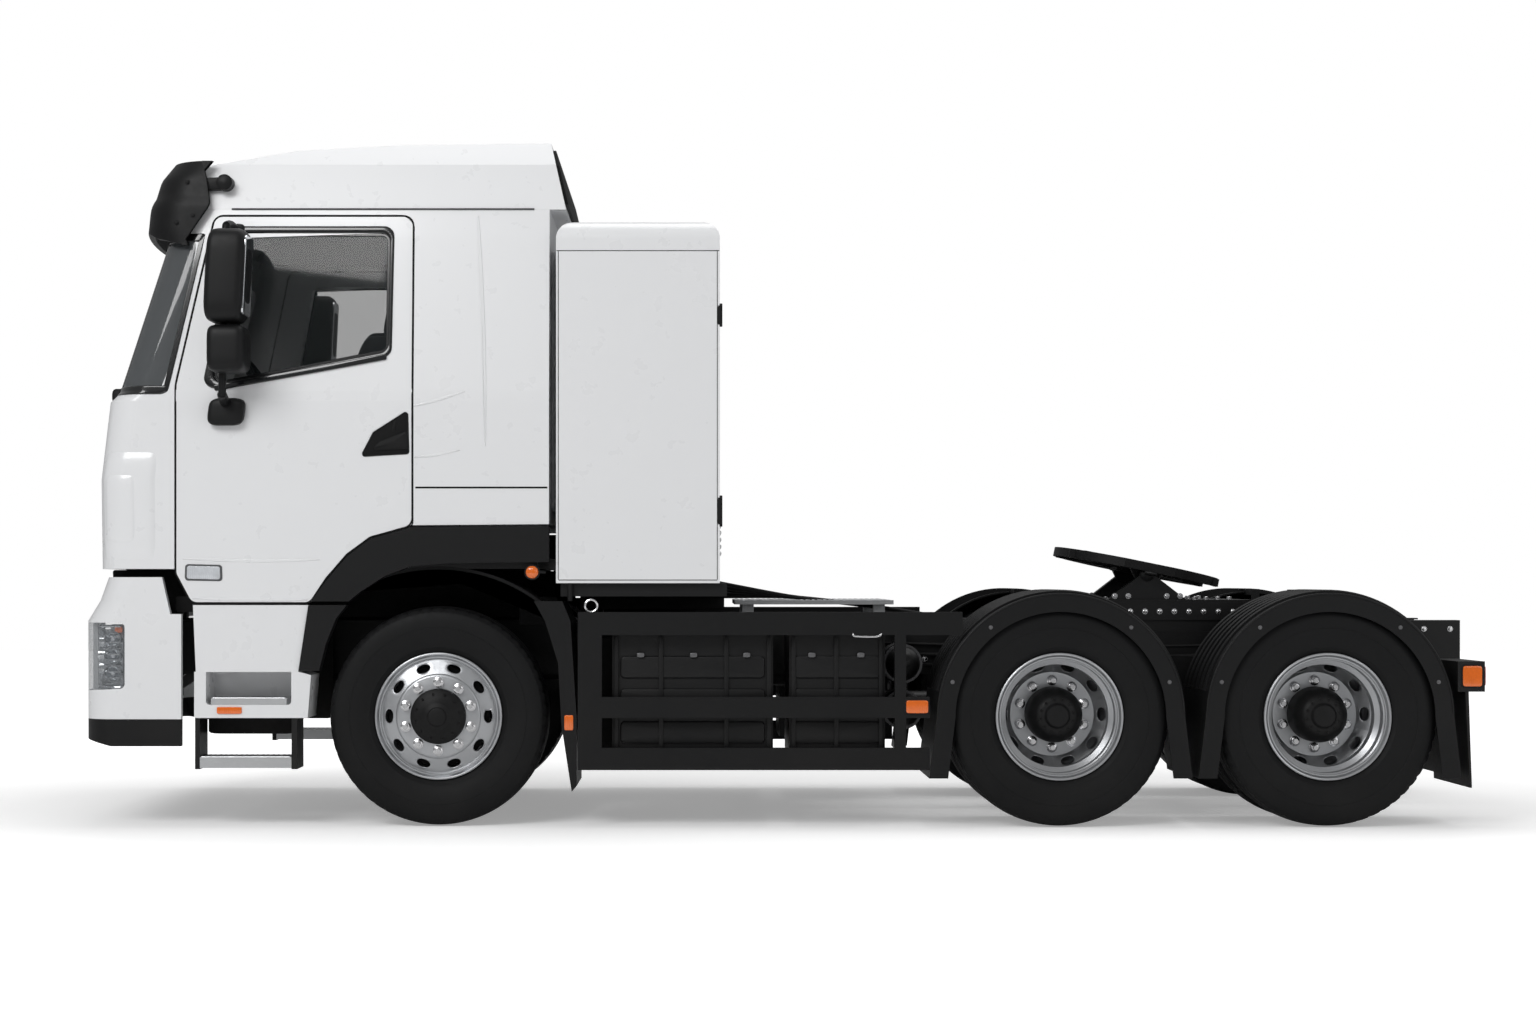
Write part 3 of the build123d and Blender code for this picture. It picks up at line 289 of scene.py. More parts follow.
def for_side(shape, sign):
    """A right-hand shape, mirrored for the left."""
    return shape if sign > 0 else mirrored(shape)


def new_mesh(name, shape):
    """A mesh of a shape's points and faces, with a face's repeated corners dropped."""
    points, faces = shape
    mesh = bpy.data.meshes.new(name)
    corners = [list(dict.fromkeys(face)) for face in faces.tolist()]
    mesh.from_pydata(points.tolist(), [], [face for face in corners if len(face) > 2])
    return mesh


def piece(name, shape, body, slot, finish, angle=35.0, replaces=()):
    """Makes the mesh object with a finish, shades it smooth below an angle and ties it to its body."""
    mesh = new_mesh(name, shape)
    mesh.validate()
    mesh.polygons.foreach_set("use_smooth", np.ones(len(mesh.polygons), dtype=bool))
    mesh.materials.append(MATERIALS[finish])
    mesh.update()
    made = bpy.data.objects.new(name, mesh)
    bpy.context.scene.collection.objects.link(made)
    mesh.set_sharp_from_angle(angle=math.radians(angle))
    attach(made, body)
    if replaces:
        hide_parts(*replaces)
    return made


# --------------------------------------------------------------- node groups


def new_group(name, inputs, outputs):
    """An empty shader node group with named sockets, and its input and output nodes."""
    group = bpy.data.node_groups.new(name, "ShaderNodeTree")
    for label, kind, default in inputs:
        made = group.interface.new_socket(name=label, in_out="INPUT", socket_type=kind)
        made.default_value = default
    for label, kind in outputs:
        group.interface.new_socket(name=label, in_out="OUTPUT", socket_type=kind)
    return group, group.nodes.new("NodeGroupInput"), group.nodes.new("NodeGroupOutput")


def feed(tree, value, socket):
    """Links a socket to an input, or sets the input to a plain value."""
    if isinstance(value, bpy.types.NodeSocket):
        tree.links.new(value, socket)
    else:
        socket.default_value = value


def math_node(tree, operation, a, b, clamp=False):
    """A Math node with each input linked or set."""
    node = tree.nodes.new("ShaderNodeMath")
    node.operation = operation
    node.use_clamp = clamp
    feed(tree, a, node.inputs[0])
    feed(tree, b, node.inputs[1])
    return node.outputs[0]


def noise_node(tree, vector, scale, detail=3.0):
    """A Noise Texture's factor."""
    node = tree.nodes.new("ShaderNodeTexNoise")
    tree.links.new(vector, node.inputs["Vector"])
    feed(tree, scale, node.inputs["Scale"])
    node.inputs["Detail"].default_value = detail
    node.inputs["Roughness"].default_value = 0.55
    return node.outputs["Fac"]


def span_node(tree, value, low, high, to_low=0.0, to_high=1.0):
    """A clamped Map Range of a value."""
    node = tree.nodes.new("ShaderNodeMapRange")
    tree.links.new(value, node.inputs["Value"])
    for label, number in (("From Min", low), ("From Max", high), ("To Min", to_low), ("To Max", to_high)):
        feed(tree, number, node.inputs[label])
    return node.outputs["Result"]


# The places of a Mix node's colour sockets: its names repeat for every data type.
MIX_FACTOR, MIX_A, MIX_B, MIX_RESULT = 0, 6, 7, 2


def mix_colour(tree, factor, a, b):
    """A colour Mix node with each input linked or set."""
    node = tree.nodes.new("ShaderNodeMix")
    node.data_type = "RGBA"
    for place, value in ((MIX_FACTOR, factor), (MIX_A, a), (MIX_B, b)):
        feed(tree, value, node.inputs[place])
    return node.outputs[MIX_RESULT]


def build_mottle():
    """Two sizes of noise: a colour that drifts and a roughness that varies."""
    group, source, sink = new_group(
        "Mottle",
        [("Vector", "NodeSocketVector", (0, 0, 0)), ("Colour", "NodeSocketColor", (0.5, 0.5, 0.5, 1)),
         ("Drift", "NodeSocketFloat", 0.1), ("Scale", "NodeSocketFloat", 4.0),
         ("Roughness", "NodeSocketFloat", 0.4), ("Roughness Spread", "NodeSocketFloat", 0.1)],
        [("Colour", "NodeSocketColor"), ("Roughness", "NodeSocketFloat")])
    broad = noise_node(group, source.outputs["Vector"], source.outputs["Scale"])
    fine_scale = math_node(group, "MULTIPLY", source.outputs["Scale"], 9.0)
    fine = noise_node(group, source.outputs["Vector"], fine_scale)
    both = math_node(group, "ADD", math_node(group, "MULTIPLY", broad, 0.65),
                     math_node(group, "MULTIPLY", fine, 0.35))
    shift = math_node(group, "MULTIPLY", math_node(group, "SUBTRACT", both, 0.5),
                      source.outputs["Drift"])
    factor = math_node(group, "ADD", 1.0, math_node(group, "MULTIPLY", shift, 2.0))
    scaled = group.nodes.new("ShaderNodeVectorMath")
    scaled.operation = "SCALE"
    group.links.new(source.outputs["Colour"], scaled.inputs[0])
    group.links.new(factor, scaled.inputs["Scale"])
    rough = math_node(group, "ADD", source.outputs["Roughness"],
                      math_node(group, "MULTIPLY", math_node(group, "SUBTRACT", fine, 0.5),
                                source.outputs["Roughness Spread"]), clamp=True)
    group.links.new(scaled.outputs[0], sink.inputs["Colour"])
    group.links.new(rough, sink.inputs["Roughness"])
    return group


def build_grain():
    """A pebbled height for moulded plastic and rubber: fine cells under a soft noise."""
    group, source, sink = new_group(
        "Grain", [("Vector", "NodeSocketVector", (0, 0, 0)), ("Scale", "NodeSocketFloat", 400.0)],
        [("Height", "NodeSocketFloat")])
    cells = group.nodes.new("ShaderNodeTexVoronoi")
    cells.feature = "SMOOTH_F1"
    group.links.new(source.outputs["Vector"], cells.inputs["Vector"])
    group.links.new(source.outputs["Scale"], cells.inputs["Scale"])
    soft = noise_node(group, source.outputs["Vector"], source.outputs["Scale"], 2.0)
    height = math_node(group, "ADD", cells.outputs["Distance"], math_node(group, "MULTIPLY", soft, 0.6))
    group.links.new(height, sink.inputs["Height"])
    return group


def build_road_film():
    """A film of dust that thickens towards the ground and settles in patches."""
    group, source, sink = new_group(
        "Road Film",
        [("Vector", "NodeSocketVector", (0, 0, 0)), ("Colour", "NodeSocketColor", (0.5, 0.5, 0.5, 1)),
         ("Film", "NodeSocketColor", (0.16, 0.14, 0.12, 1)), ("Top", "NodeSocketFloat", 1.2),
         ("Amount", "NodeSocketFloat", 0.3)],
        [("Colour", "NodeSocketColor")])
    parts = group.nodes.new("ShaderNodeSeparateXYZ")
    group.links.new(source.outputs["Vector"], parts.inputs[0])
    low = span_node(group, parts.outputs["Z"], source.outputs["Top"], 0.0)
    patches = span_node(group, noise_node(group, source.outputs["Vector"], 3.0, 5.0), 0.35, 0.75)
    mask = math_node(group, "MULTIPLY", math_node(group, "MULTIPLY", low, patches),
                     source.outputs["Amount"], clamp=True)
    mixed = mix_colour(group, mask, source.outputs["Colour"], source.outputs["Film"])
    group.links.new(mixed, sink.inputs["Colour"])
    return group


GROUPS = {}
MATERIALS = {}


def group_node(tree, name, **values):
    """Places a shared group in a material and links or sets its inputs."""
    node = tree.nodes.new("ShaderNodeGroup")
    node.node_tree = GROUPS[name]
    for label, value in values.items():
        feed(tree, value, node.inputs[label.replace("_", " ")])
    return node


def new_material(name):
    """A material with its tree, its Principled shader and the Object coordinates."""
    material = bpy.data.materials.new(name)
    material.use_nodes = True
    tree = material.node_tree
    shader = tree.nodes["Principled BSDF"]
    coordinates = tree.nodes.new("ShaderNodeTexCoord").outputs["Object"]
    MATERIALS[name] = material
    return material, tree, shader, coordinates


def bumped(tree, shader, height, strength, distance):
    """Feeds a height through a Bump node to the shader's normal."""
    bump = tree.nodes.new("ShaderNodeBump")
    bump.inputs["Strength"].default_value = strength
    bump.inputs["Distance"].default_value = distance
    tree.links.new(height, bump.inputs["Height"])
    tree.links.new(bump.outputs["Normal"], shader.inputs["Normal"])


def set_inputs(shader, **values):
    """Sets a shader's inputs by name, with an underscore for each space."""
    for label, value in values.items():
        shader.inputs[label.replace("_", " ")].default_value = value


def mottled(name, colour, drift, scale, roughness, spread, **film):
    """A new material whose tone and roughness drift, with road film low down where it is given."""
    _, tree, shader, where = new_material(name)
    mottle = group_node(tree, "Mottle", Vector=where, Colour=(*colour, 1), Drift=drift, Scale=scale,
                        Roughness=roughness, Roughness_Spread=spread)
    tone = mottle.outputs["Colour"]
    if film:
        tone = group_node(tree, "Road Film", Vector=where, Colour=tone, **film).outputs["Colour"]
    tree.links.new(tone, shader.inputs["Base Color"])
    tree.links.new(mottle.outputs["Roughness"], shader.inputs["Roughness"])
    return tree, shader, where


def wave_node(tree, where, scale, direction="X"):
    """The height of a wave texture's bands."""
    wave = tree.nodes.new("ShaderNodeTexWave")
    wave.bands_direction = direction
    wave.inputs["Scale"].default_value = scale
    tree.links.new(where, wave.inputs["Vector"])
    return wave.outputs["Fac"]


def painted(name, colour, roughness, drift=0.03, coat=0.0, film=0.0, scale=1.2, peel=0.02, specular=0.5):
    """Sprayed paint: a faint drift of tone, an orange-peel bump and a clear coat."""
    dust = {"Amount": film} if film else {}
    tree, shader, where = mottled(name, colour, drift, scale, roughness, 0.04, **dust)
    set_inputs(shader, Metallic=0.0, Specular_IOR_Level=specular, Coat_Weight=coat, Coat_Roughness=0.08)
    bumped(tree, shader, noise_node(tree, where, 90.0, 2.0), peel, 0.002)


def moulded(name, colour, roughness, grain=520.0, depth=0.12, film=0.25):
    """Moulded plastic or rubber: a pebbled skin, a drift of tone and dust low down."""
    tree, shader, where = mottled(name, colour, 0.12, 5.0, roughness, 0.16, Amount=film)
    set_inputs(shader, Specular_IOR_Level=0.22)
    grainy = group_node(tree, "Grain", Vector=where, Scale=grain)
    bumped(tree, shader, grainy.outputs["Height"], depth, 0.001)


def build_groups():
    """Builds the shared node groups once."""
    for name, make in (("Mottle", build_mottle), ("Grain", build_grain), ("Road Film", build_road_film)):
        GROUPS[name] = make()


def tyre_rubber():
    """Tyre rubber: a dull, pebbled black whose tone drifts, dusty and lighter low down."""
    tree, shader, where = mottled("tyre_rubber", (0.0055, 0.0057, 0.0061), 0.35, 3.5, 0.56, 0.2,
                                  Amount=0.12, Top=0.9, Film=(0.05, 0.047, 0.043, 1))
    set_inputs(shader, Specular_IOR_Level=0.18)
    grainy = group_node(tree, "Grain", Vector=where, Scale=310.0)
    bumped(tree, shader, grainy.outputs["Height"], 0.2, 0.001)


def brushed_metal(name, colour, roughness, scale=(1.0, 40.0, 1.0), metallic=1.0, depth=0.05):
    """Worked metal: noise stretched along one axis for the tool marks, and a mottled sheen."""
    tree, shader, where = mottled(name, colour, 0.12, 6.0, roughness, 0.18, Amount=0.22, Top=1.0)
    mapping = tree.nodes.new("ShaderNodeMapping")
    mapping.inputs["Scale"].default_value = scale
    tree.links.new(where, mapping.inputs["Vector"])
    set_inputs(shader, Metallic=metallic)
    bumped(tree, shader, noise_node(tree, mapping.outputs["Vector"], 14.0, 6.0), depth, 0.001)


def tinted_glass(name, tint, alpha, facing_alpha=0.92):
    """A thin pane: a dark clear sheet that turns opaque and reflective at shallow angles."""
    tree, shader, _ = mottled(name, tint, 0.05, 2.0, 0.035, 0.02)
    set_inputs(shader, Specular_IOR_Level=0.65)
    facing = tree.nodes.new("ShaderNodeLayerWeight")
    facing.inputs["Blend"].default_value = 0.32
    tree.links.new(span_node(tree, facing.outputs["Facing"], 0.0, 1.0, alpha, facing_alpha),
                   shader.inputs["Alpha"])


def lens(name, colour, ribs=0.0, roughness=0.08, glow=0.0):
    """A coloured lens: a glossy coat over ribs drawn by a wave and a soft cloudiness."""
    tree, shader, where = mottled(name, colour, 0.25, 14.0, roughness, 0.08)
    set_inputs(shader, Coat_Weight=0.8, Coat_Roughness=0.03)
    if glow:
        tone = shader.inputs["Base Color"].links[0].from_socket
        tree.links.new(tone, shader.inputs["Emission Color"])
        set_inputs(shader, Emission_Strength=glow)
    bumped(tree, shader, wave_node(tree, where, 34.0), ribs, 0.002)


def woven_cloth(name, colour):
    """Seat cloth: crossed threads as two waves, with a worn, lighter drift."""
    tree, shader, where = mottled(name, colour, 0.3, 9.0, 0.85, 0.1)
    set_inputs(shader, Sheen_Weight=0.25)
    threads = [wave_node(tree, where, 160.0, direction) for direction in ("X", "Z")]
    bumped(tree, shader, math_node(tree, "ADD", *threads), 0.3, 0.0008)


def build_materials(settings):
    """Every finish, by name."""
    painted("white_paint", settings.body_colour, 0.28, drift=0.003, coat=0.35, peel=0.003)
    painted("chassis_black", settings.chassis_colour, 0.42, drift=0.30, film=0.05, scale=3.0, peel=0.06,
            specular=0.28)
    painted("gloss_black", (0.008, 0.0085, 0.009), 0.16, drift=0.15, coat=0.5, peel=0.01)
    painted("cast_black", (0.0048, 0.0049, 0.0052), 0.5, drift=0.4, film=0.03, scale=6.0, peel=0.25,
            specular=0.22)
    moulded("black_plastic", (0.0058, 0.0060, 0.0064), 0.46, film=0.03)
    moulded("soft_black", (0.0060, 0.0061, 0.0065), 0.6, grain=300.0, depth=0.2, film=0.05)
    moulded("trim_grey", (0.09, 0.092, 0.096), 0.6, grain=420.0)
    # Near black, darker than the other blacks: the own colour of seams, gaps, pockets, drums and liners, and
    # painted shade where it fills plates behind gaps and the roof's open rear.
    moulded("dark_liner", (0.004, 0.0041, 0.0044), 0.75, grain=200.0, depth=0.2, film=0.1)
    tyre_rubber()
    brushed_metal("wheel_silver", (0.43, 0.44, 0.455), 0.36, scale=(1.0, 1.0, 1.0), metallic=0.85)
    brushed_metal("bright_steel", (0.62, 0.62, 0.63), 0.24)
    brushed_metal("aluminium", (0.56, 0.57, 0.58), 0.36, scale=(1.0, 30.0, 1.0), metallic=0.9)
    brushed_metal("mirror_silver", (0.72, 0.74, 0.76), 0.06, depth=0.0)
    brushed_metal("dull_steel", (0.14, 0.14, 0.145), 0.45, metallic=0.7)
    tinted_glass("glass", (0.010, 0.014, 0.0145), 0.24)
    tinted_glass("wrap_glass", (0.035, 0.042, 0.046), 0.72)
    tinted_glass("clear_cover", (0.32, 0.34, 0.36), 0.16, 0.7)
    lens("amber_lens", (0.72, 0.135, 0.008), 0.30, glow=0.04)
    lens("red_lens", (0.42, 0.012, 0.01), 0.35)
    lens("clear_lens", (0.55, 0.57, 0.6), 0.5, 0.12)
    woven_cloth("seat_cloth", (0.035, 0.037, 0.042))
    woven_cloth("seat_middle", (0.075, 0.078, 0.085))


NODE_FINISH = {
    "frame": "chassis_black", "front_axle": "cast_black", "drive_axles": "cast_black",
    "rear_suspension": "cast_black", "motor": "cast_black", "prop_shafts": "chassis_black",
    "side_modules": "chassis_black", "side_guards": "black_plastic", "cabinet": "white_paint",
    "cabinet_cradle": "chassis_black", "walkway": "aluminium", "coupler_base": "chassis_black",
    "coupler_plate": "cast_black", "rear_mudguards": "black_plastic", "rear_lamp_bar": "chassis_black",
    "arch_lowers": "black_plastic", "bumper": "white_paint", "headlamps": "clear_cover",
    "bumper_lip": "black_plastic", "step_fairings": "white_paint", "step_treads": "aluminium",
    "step_hangers": "chassis_black", "cab_shell": "white_paint", "windscreen": "glass",
    "cab_roof": "white_paint", "cab_floor": "chassis_black", "lower_grille": "black_plastic",
    "arch_flares": "black_plastic", "sun_visor": "black_plastic", "dashboard": "trim_grey",
    "seats": "seat_cloth", "front_flap": "white_paint", "tie_rod": "chassis_black",
}
PREFIX_FINISH = (("door_glass", "glass"), ("door_", "white_paint"), ("mirror_", "black_plastic"),
                 ("knuckle_", "cast_black"), ("tyre", "tyre_rubber"), ("wheel", "wheel_silver"))


def node_finish(name):
    """The finish of a CAD node, from the table or from its name's first word."""
    if name in NODE_FINISH:
        return NODE_FINISH[name]
    return next(finish for prefix, finish in PREFIX_FINISH if name.startswith(prefix))


# ------------------------------------------------------------------ the parts
# Sizes in metres: the vehicle faces -X, its left is -Y and the ground is Z = 0.
FRONT_X = -1.712
DRIVE_X = (1.328, 2.638)
HUB_Z = 0.54
TYRE_R = 0.5396
FRONT_Y = 1.02
TWIN_Y = (0.74, 1.075)
PIVOT_Y_MIDDLE = 0.9075
CAB_HEIGHTS = (1.096, 1.700, 2.080, 2.130, 2.883, 3.022)
CAB_HALVES = (1.240, 1.240, 1.240, 1.238, 1.186, 1.174)
CAB_FRONTS = (-3.438, -3.446, -3.402, -3.352, -3.118, -3.070)
CAB_CORNERS = (0.150, 0.150, 0.160, 0.170, 0.190, 0.200)
FRONT_BULGE = 0.092
BUMPER_HALF = 1.236
BUMPER_FRONT = -3.512
BUMPER_CORNER = 0.150


def cab_side(z):
    """The cab side's y at a height: straight lines between the hull's sections."""
    return np.interp(z, CAB_HEIGHTS, CAB_HALVES)


def curved_front(y, half, front, corner, bulge=FRONT_BULGE):
    """The front's x in plan: the arc through the shoulders, then a quarter round to the side.
    The round's centre lies a corner radius inside both the side line and the arc."""
    y = np.abs(np.asarray(y, dtype=float))
    arc = (half ** 2 + bulge ** 2) / (2 * bulge)
    plain = front + arc - np.sqrt(np.maximum(arc ** 2 - y ** 2, 0))
    centre_y = half - corner
    centre_x = front + arc - np.sqrt((arc - corner) ** 2 - centre_y ** 2)
    round_x = centre_x - np.sqrt(np.maximum(corner ** 2 - (y - centre_y) ** 2, 0))
    start = centre_y * arc / (arc - corner)
    return np.where(y > start, round_x, plain)


def cab_front(y, z):
    """The cab front's x at a place: the curved plan between the hull's sections."""
    return curved_front(y, np.interp(z, CAB_HEIGHTS, CAB_HALVES), np.interp(z, CAB_HEIGHTS, CAB_FRONTS),
                        np.interp(z, CAB_HEIGHTS, CAB_CORNERS))


def on_cab_side(flat, depth):
    """A loop of (x, z) laid on the cab's right side and lifted off it by depth."""
    return np.stack([flat[:, 0], cab_side(flat[:, 1]) + depth, flat[:, 1]], axis=1)


def on_cab_front(flat, depth):
    """A loop of (y, z) laid on the cab's front and lifted off it by depth."""
    return np.stack([cab_front(flat[:, 0], flat[:, 1]) - depth, flat[:, 0], flat[:, 1]], axis=1)


def side_skin(loop, proud, sunk, edge=0.004):
    """A plate on the cab's right side, from sunk to proud."""
    return pillow_plate(loop, -sunk, proud, edge, on_cab_side)


def front_skin(loop, proud, sunk, edge=0.004):
    """A plate on the cab's front, from sunk to proud."""
    return pillow_plate(loop, -sunk, proud, edge, on_cab_front)


def loop_frame(rows, place):
    """A closed frame whose section has a corner for each row, a loop and its depth."""
    return tube_surface(np.stack([place(loop, depth) for loop, depth in rows], axis=1), closed_path=True)


def side_band(loop, width, proud, sunk):
    """A flat frame on the cab side, between a loop and the same loop moved inwards by width."""
    inner = inset_loop(loop, width)
    rows = ((loop, -sunk), (loop, proud * 0.7), (inset_loop(loop, width * 0.12), proud),
            (inset_loop(loop, width * 0.88), proud), (inner, proud * 0.7), (inner, -sunk))
    return loop_frame(rows, on_cab_side)


def on_doors(name, shape, slot, finish, angle=35.0, replaced=()):
    """The same piece on both doors, mirrored on the left one."""
    for side, sign in SIDES.items():
        nodes = tuple(f"{node}_{side}" for node in replaced)
        piece(f"{name}_{side}", for_side(shape, sign), f"door_{side}_body", slot, finish, angle, nodes)


def bumper_front(y):
    """The bumper front's x: the same curved plan at the bumper's size."""
    return curved_front(y, BUMPER_HALF, BUMPER_FRONT, BUMPER_CORNER)


def on_bumper(flat, depth):
    """A loop of (y, z) laid on the bumper's front and lifted off it by depth."""
    return np.stack([bumper_front(flat[:, 0]) - depth, flat[:, 0], flat[:, 1]], axis=1)


# Tyre section, (radius, distance from the middle): bead, bulging wall, shoulder and crown.
TYRE_WALL = np.array([(0.286, 0.110), (0.300, 0.114), (0.314, 0.1142), (0.322, 0.121), (0.338, 0.1295),
                      (0.3395, 0.1308), (0.343, 0.1312), (0.362, 0.1375), (0.386, 0.1435),
                      (0.410, 0.1478), (0.432, 0.1495), (0.4335, 0.1484), (0.437, 0.1484),
                      (0.4385, 0.1495), (0.452, 0.1495), (0.470, 0.1485), (0.488, 0.1455),
                      (0.503, 0.1408), (0.511, 0.1378), (0.5165, 0.1335), (0.522, 0.1300),
                      (0.5275, 0.1252)])
GROOVES = (-0.086, -0.030, 0.030, 0.086)
GROOVE_HALF = 0.0058
GROOVE_DEPTH = 0.014
TREAD_HALF = 0.1215
GROOVE_WALL = 0.0012
SIPE_DEPTH = 0.0065
CROWN_FALL = 0.0084
PITCHES = 54


def treaded_tyre(centre):
    """A tyre: its wall profile turned about the axle, with a crown radius that falls by a small
    parabola to the edge, less the depth of four grooves round it and of sipes across its shoulders."""
    stops = [-TREAD_HALF]
    for groove in GROOVES:
        stops += [groove - GROOVE_HALF, groove - GROOVE_HALF + GROOVE_WALL,
                  groove + GROOVE_HALF - GROOVE_WALL, groove + GROOVE_HALF]
    stops += [TREAD_HALF]
    y = np.array(stops)
    low = np.zeros(len(y), dtype=bool)
    low[2:-1:4] = True
    low[3:-1:4] = True
    crown = TYRE_R - CROWN_FALL * (y / TREAD_HALF) ** 2
    crown = np.where(low, crown - GROOVE_DEPTH, crown)
    radius = np.concatenate([TYRE_WALL[:, 0], crown, TYRE_WALL[::-1, 0]])
    across = np.concatenate([-TYRE_WALL[:, 1], y, TYRE_WALL[::-1, 1]])
    steps = PITCHES * 4
    turn = np.linspace(0, 2 * np.pi, steps, endpoint=False)[:, None]
    phase = np.arange(steps)[:, None] % 4
    reach = np.abs(across)
    shoulder = (reach > 0.100) & (reach < 0.136) & (radius > 0.505)
    sipe = np.where(shoulder[None, :] & (phase == 0), SIPE_DEPTH, 0.0)
    r = radius[None, :] - sipe
    rings = np.stack([r * np.cos(turn), np.broadcast_to(across, r.shape), r * np.sin(turn)], axis=-1)
    return tube_surface(rings + np.asarray(centre), closed_path=True)


def around(shape, count, radius, start=0.0):
    """Copies of a shape built at the axle's middle, set round the Y axis at a radius."""
    points, faces = shape
    turn = start + np.arange(count) * 2 * np.pi / count
    cosine, sine = np.cos(turn)[:, None], np.sin(turn)[:, None]
    x, y, z = points[None, :, 0] + radius, points[None, :, 1], points[None, :, 2]
    moved = np.stack([x * cosine - z * sine, np.broadcast_to(y, (count, len(points))),
                      x * sine + z * cosine], axis=-1).reshape(-1, 3)
    all_faces = (faces[None] + (np.arange(count) * len(points))[:, None, None]).reshape(-1, 4)
    return moved, all_faces


def wheel_nut(y0, y1):
    """A wheel nut with its flange and stud end along Y: six sides up to a chamfer, then round."""
    t = np.linspace(0, 2 * np.pi, 12, endpoint=False)
    hexed = 0.0165 / np.cos((t + np.pi / 6) % (np.pi / 3) - np.pi / 6)
    span = y1 - y0
    rows = ((y0, np.full(12, 0.021)), (y0 + 0.004, np.full(12, 0.0215)), (y0 + 0.006, hexed),
            (y0 + span * 0.62, hexed), (y0 + span * 0.68, np.full(12, 0.0148)),
            (y0 + span * 0.70, np.full(12, 0.0105)), (y1, np.full(12, 0.0095)))
    rings = np.array([np.stack([r * np.cos(t), np.full(12, y), r * np.sin(t)], axis=-1) for y, r in rows])
    return tube_surface(rings)


FRONT_CAP = ((0.0, 0.2065), (0.036, 0.2065), (0.0425, 0.2045), (0.0455, 0.1985), (0.0500, 0.1958),
             (0.0615, 0.1938), (0.0700, 0.1890), (0.0885, 0.1778), (0.1000, 0.1742), (0.1280, 0.1658),
             (0.1345, 0.1600), (0.1358, 0.1415), (0.1372, 0.1335), (0.0, 0.1335))
DRIVE_CAP = ((0.0, 0.2345), (0.034, 0.2345), (0.040, 0.2325), (0.052, 0.2315), (0.058, 0.2255),
             (0.063, 0.2165), (0.078, 0.2130), (0.094, 0.2080), (0.108, 0.1900), (0.122, 0.1680),
             (0.131, 0.1520), (0.1370, 0.1200), (0.1375, 0.0300), (0.1375, 0.0140), (0.0, 0.0140))
CAP_STUDS = 12
RIM_SECTION = ((0.3122, 0.1160), (0.3128, 0.1235), (0.3110, 0.1282), (0.3065, 0.1302), (0.3015, 0.1290),
               (0.2970, 0.1235), (0.2905, 0.1120), (0.2840, 0.1040), (0.2775, 0.1000), (0.2765, 0.0460),
               (0.2530, 0.0300), (0.2530, -0.0300), (0.2765, -0.0460), (0.2765, -0.1240),
               (0.3122, -0.1240), (0.3122, -0.1160), (0.2862, -0.1140), (0.2862, -0.0500),
               (0.2622, -0.0340), (0.2622, 0.0340), (0.2862, 0.0500), (0.2862, 0.1140))
FRONT_DISC = ((0.2085, 0.1262), (0.2060, 0.1290), (0.2015, 0.1325), (0.1950, 0.1345), (0.0950, 0.1345),
              (0.0950, 0.1180), (0.2000, 0.1180), (0.2085, 0.1140))
FRONT_RING = ((0.2085, 0.1262), (0.2775, 0.1000), 0.2430)
TWIN_DISC = ((0.2085, 0.0160), (0.2010, 0.0155), (0.0950, 0.0155), (0.0950, 0.0), (0.2085, 0.0030))
TWIN_RING = ((0.2085, 0.0160), (0.2775, 0.0700), 0.2430)
TWIN_INSIDE = ((0.280, -0.066), (0.262, -0.066), (0.236, -0.030), (0.208, -0.015), (0.095, -0.015),
               (0.095, -0.001), (0.212, -0.001), (0.246, -0.018), (0.268, -0.050), (0.280, -0.050))
FRONT_HUB = ((0, 0.1335), (0.134, 0.1335), (0.134, 0.118), (0.090, 0.060), (0.090, 0.0), (0, 0.0))
TWIN_HUB = ((0, 0.014), (0.134, 0.014), (0.134, -0.040), (0.100, -0.060), (0.100, -0.200), (0, -0.200))
FRONT_DRUM = ((0.089, 0.070), (0.212, 0.070), (0.212, 0.0), (0.198, 0.0), (0.198, 0.056), (0.089, 0.056))
TWIN_DRUM = ((0.099, -0.070), (0.212, -0.070), (0.212, -0.250), (0.198, -0.250), (0.198, -0.084),
             (0.099, -0.084))
HAND_HOLES = 10
HOLE_SIZE = (0.066, 0.040)
NUT_CIRCLE = 0.1675
NUT_STANDS = 0.041
NUT_SPREAD = 1.22

# A kind of wheel: its tyres' middles from its own middle, that middle's y, the nut seat's y, a cap's
# screws as (radius, y), and the sections of its parts.
WheelKind = namedtuple("WheelKind", "tyres_y y face cap studs disc ring hub drum inside")
TWIN_OUT = (TWIN_Y[1] - TWIN_Y[0]) / 2
FRONT_KIND = WheelKind((0.0,), FRONT_Y, 0.134, FRONT_CAP, (0.112, 0.1712), FRONT_DISC, FRONT_RING,
                       FRONT_HUB, FRONT_DRUM, ())
TWIN_KIND = WheelKind((TWIN_OUT, -TWIN_OUT), PIVOT_Y_MIDDLE, 0.015, DRIVE_CAP, (0.084, 0.2110), TWIN_DISC,
                      TWIN_RING, TWIN_HUB, TWIN_DRUM, (TWIN_INSIDE,))
WHEEL_ROWS = (("front", "front_wheel", "tyre_front", "wheel_front", FRONT_X, FRONT_KIND),
              ("drive1", "drive1_wheels", "tyres_drive1", "wheels_drive1", DRIVE_X[0], TWIN_KIND),
              ("drive2", "drive2_wheels", "tyres_drive2", "wheels_drive2", DRIVE_X[1], TWIN_KIND))


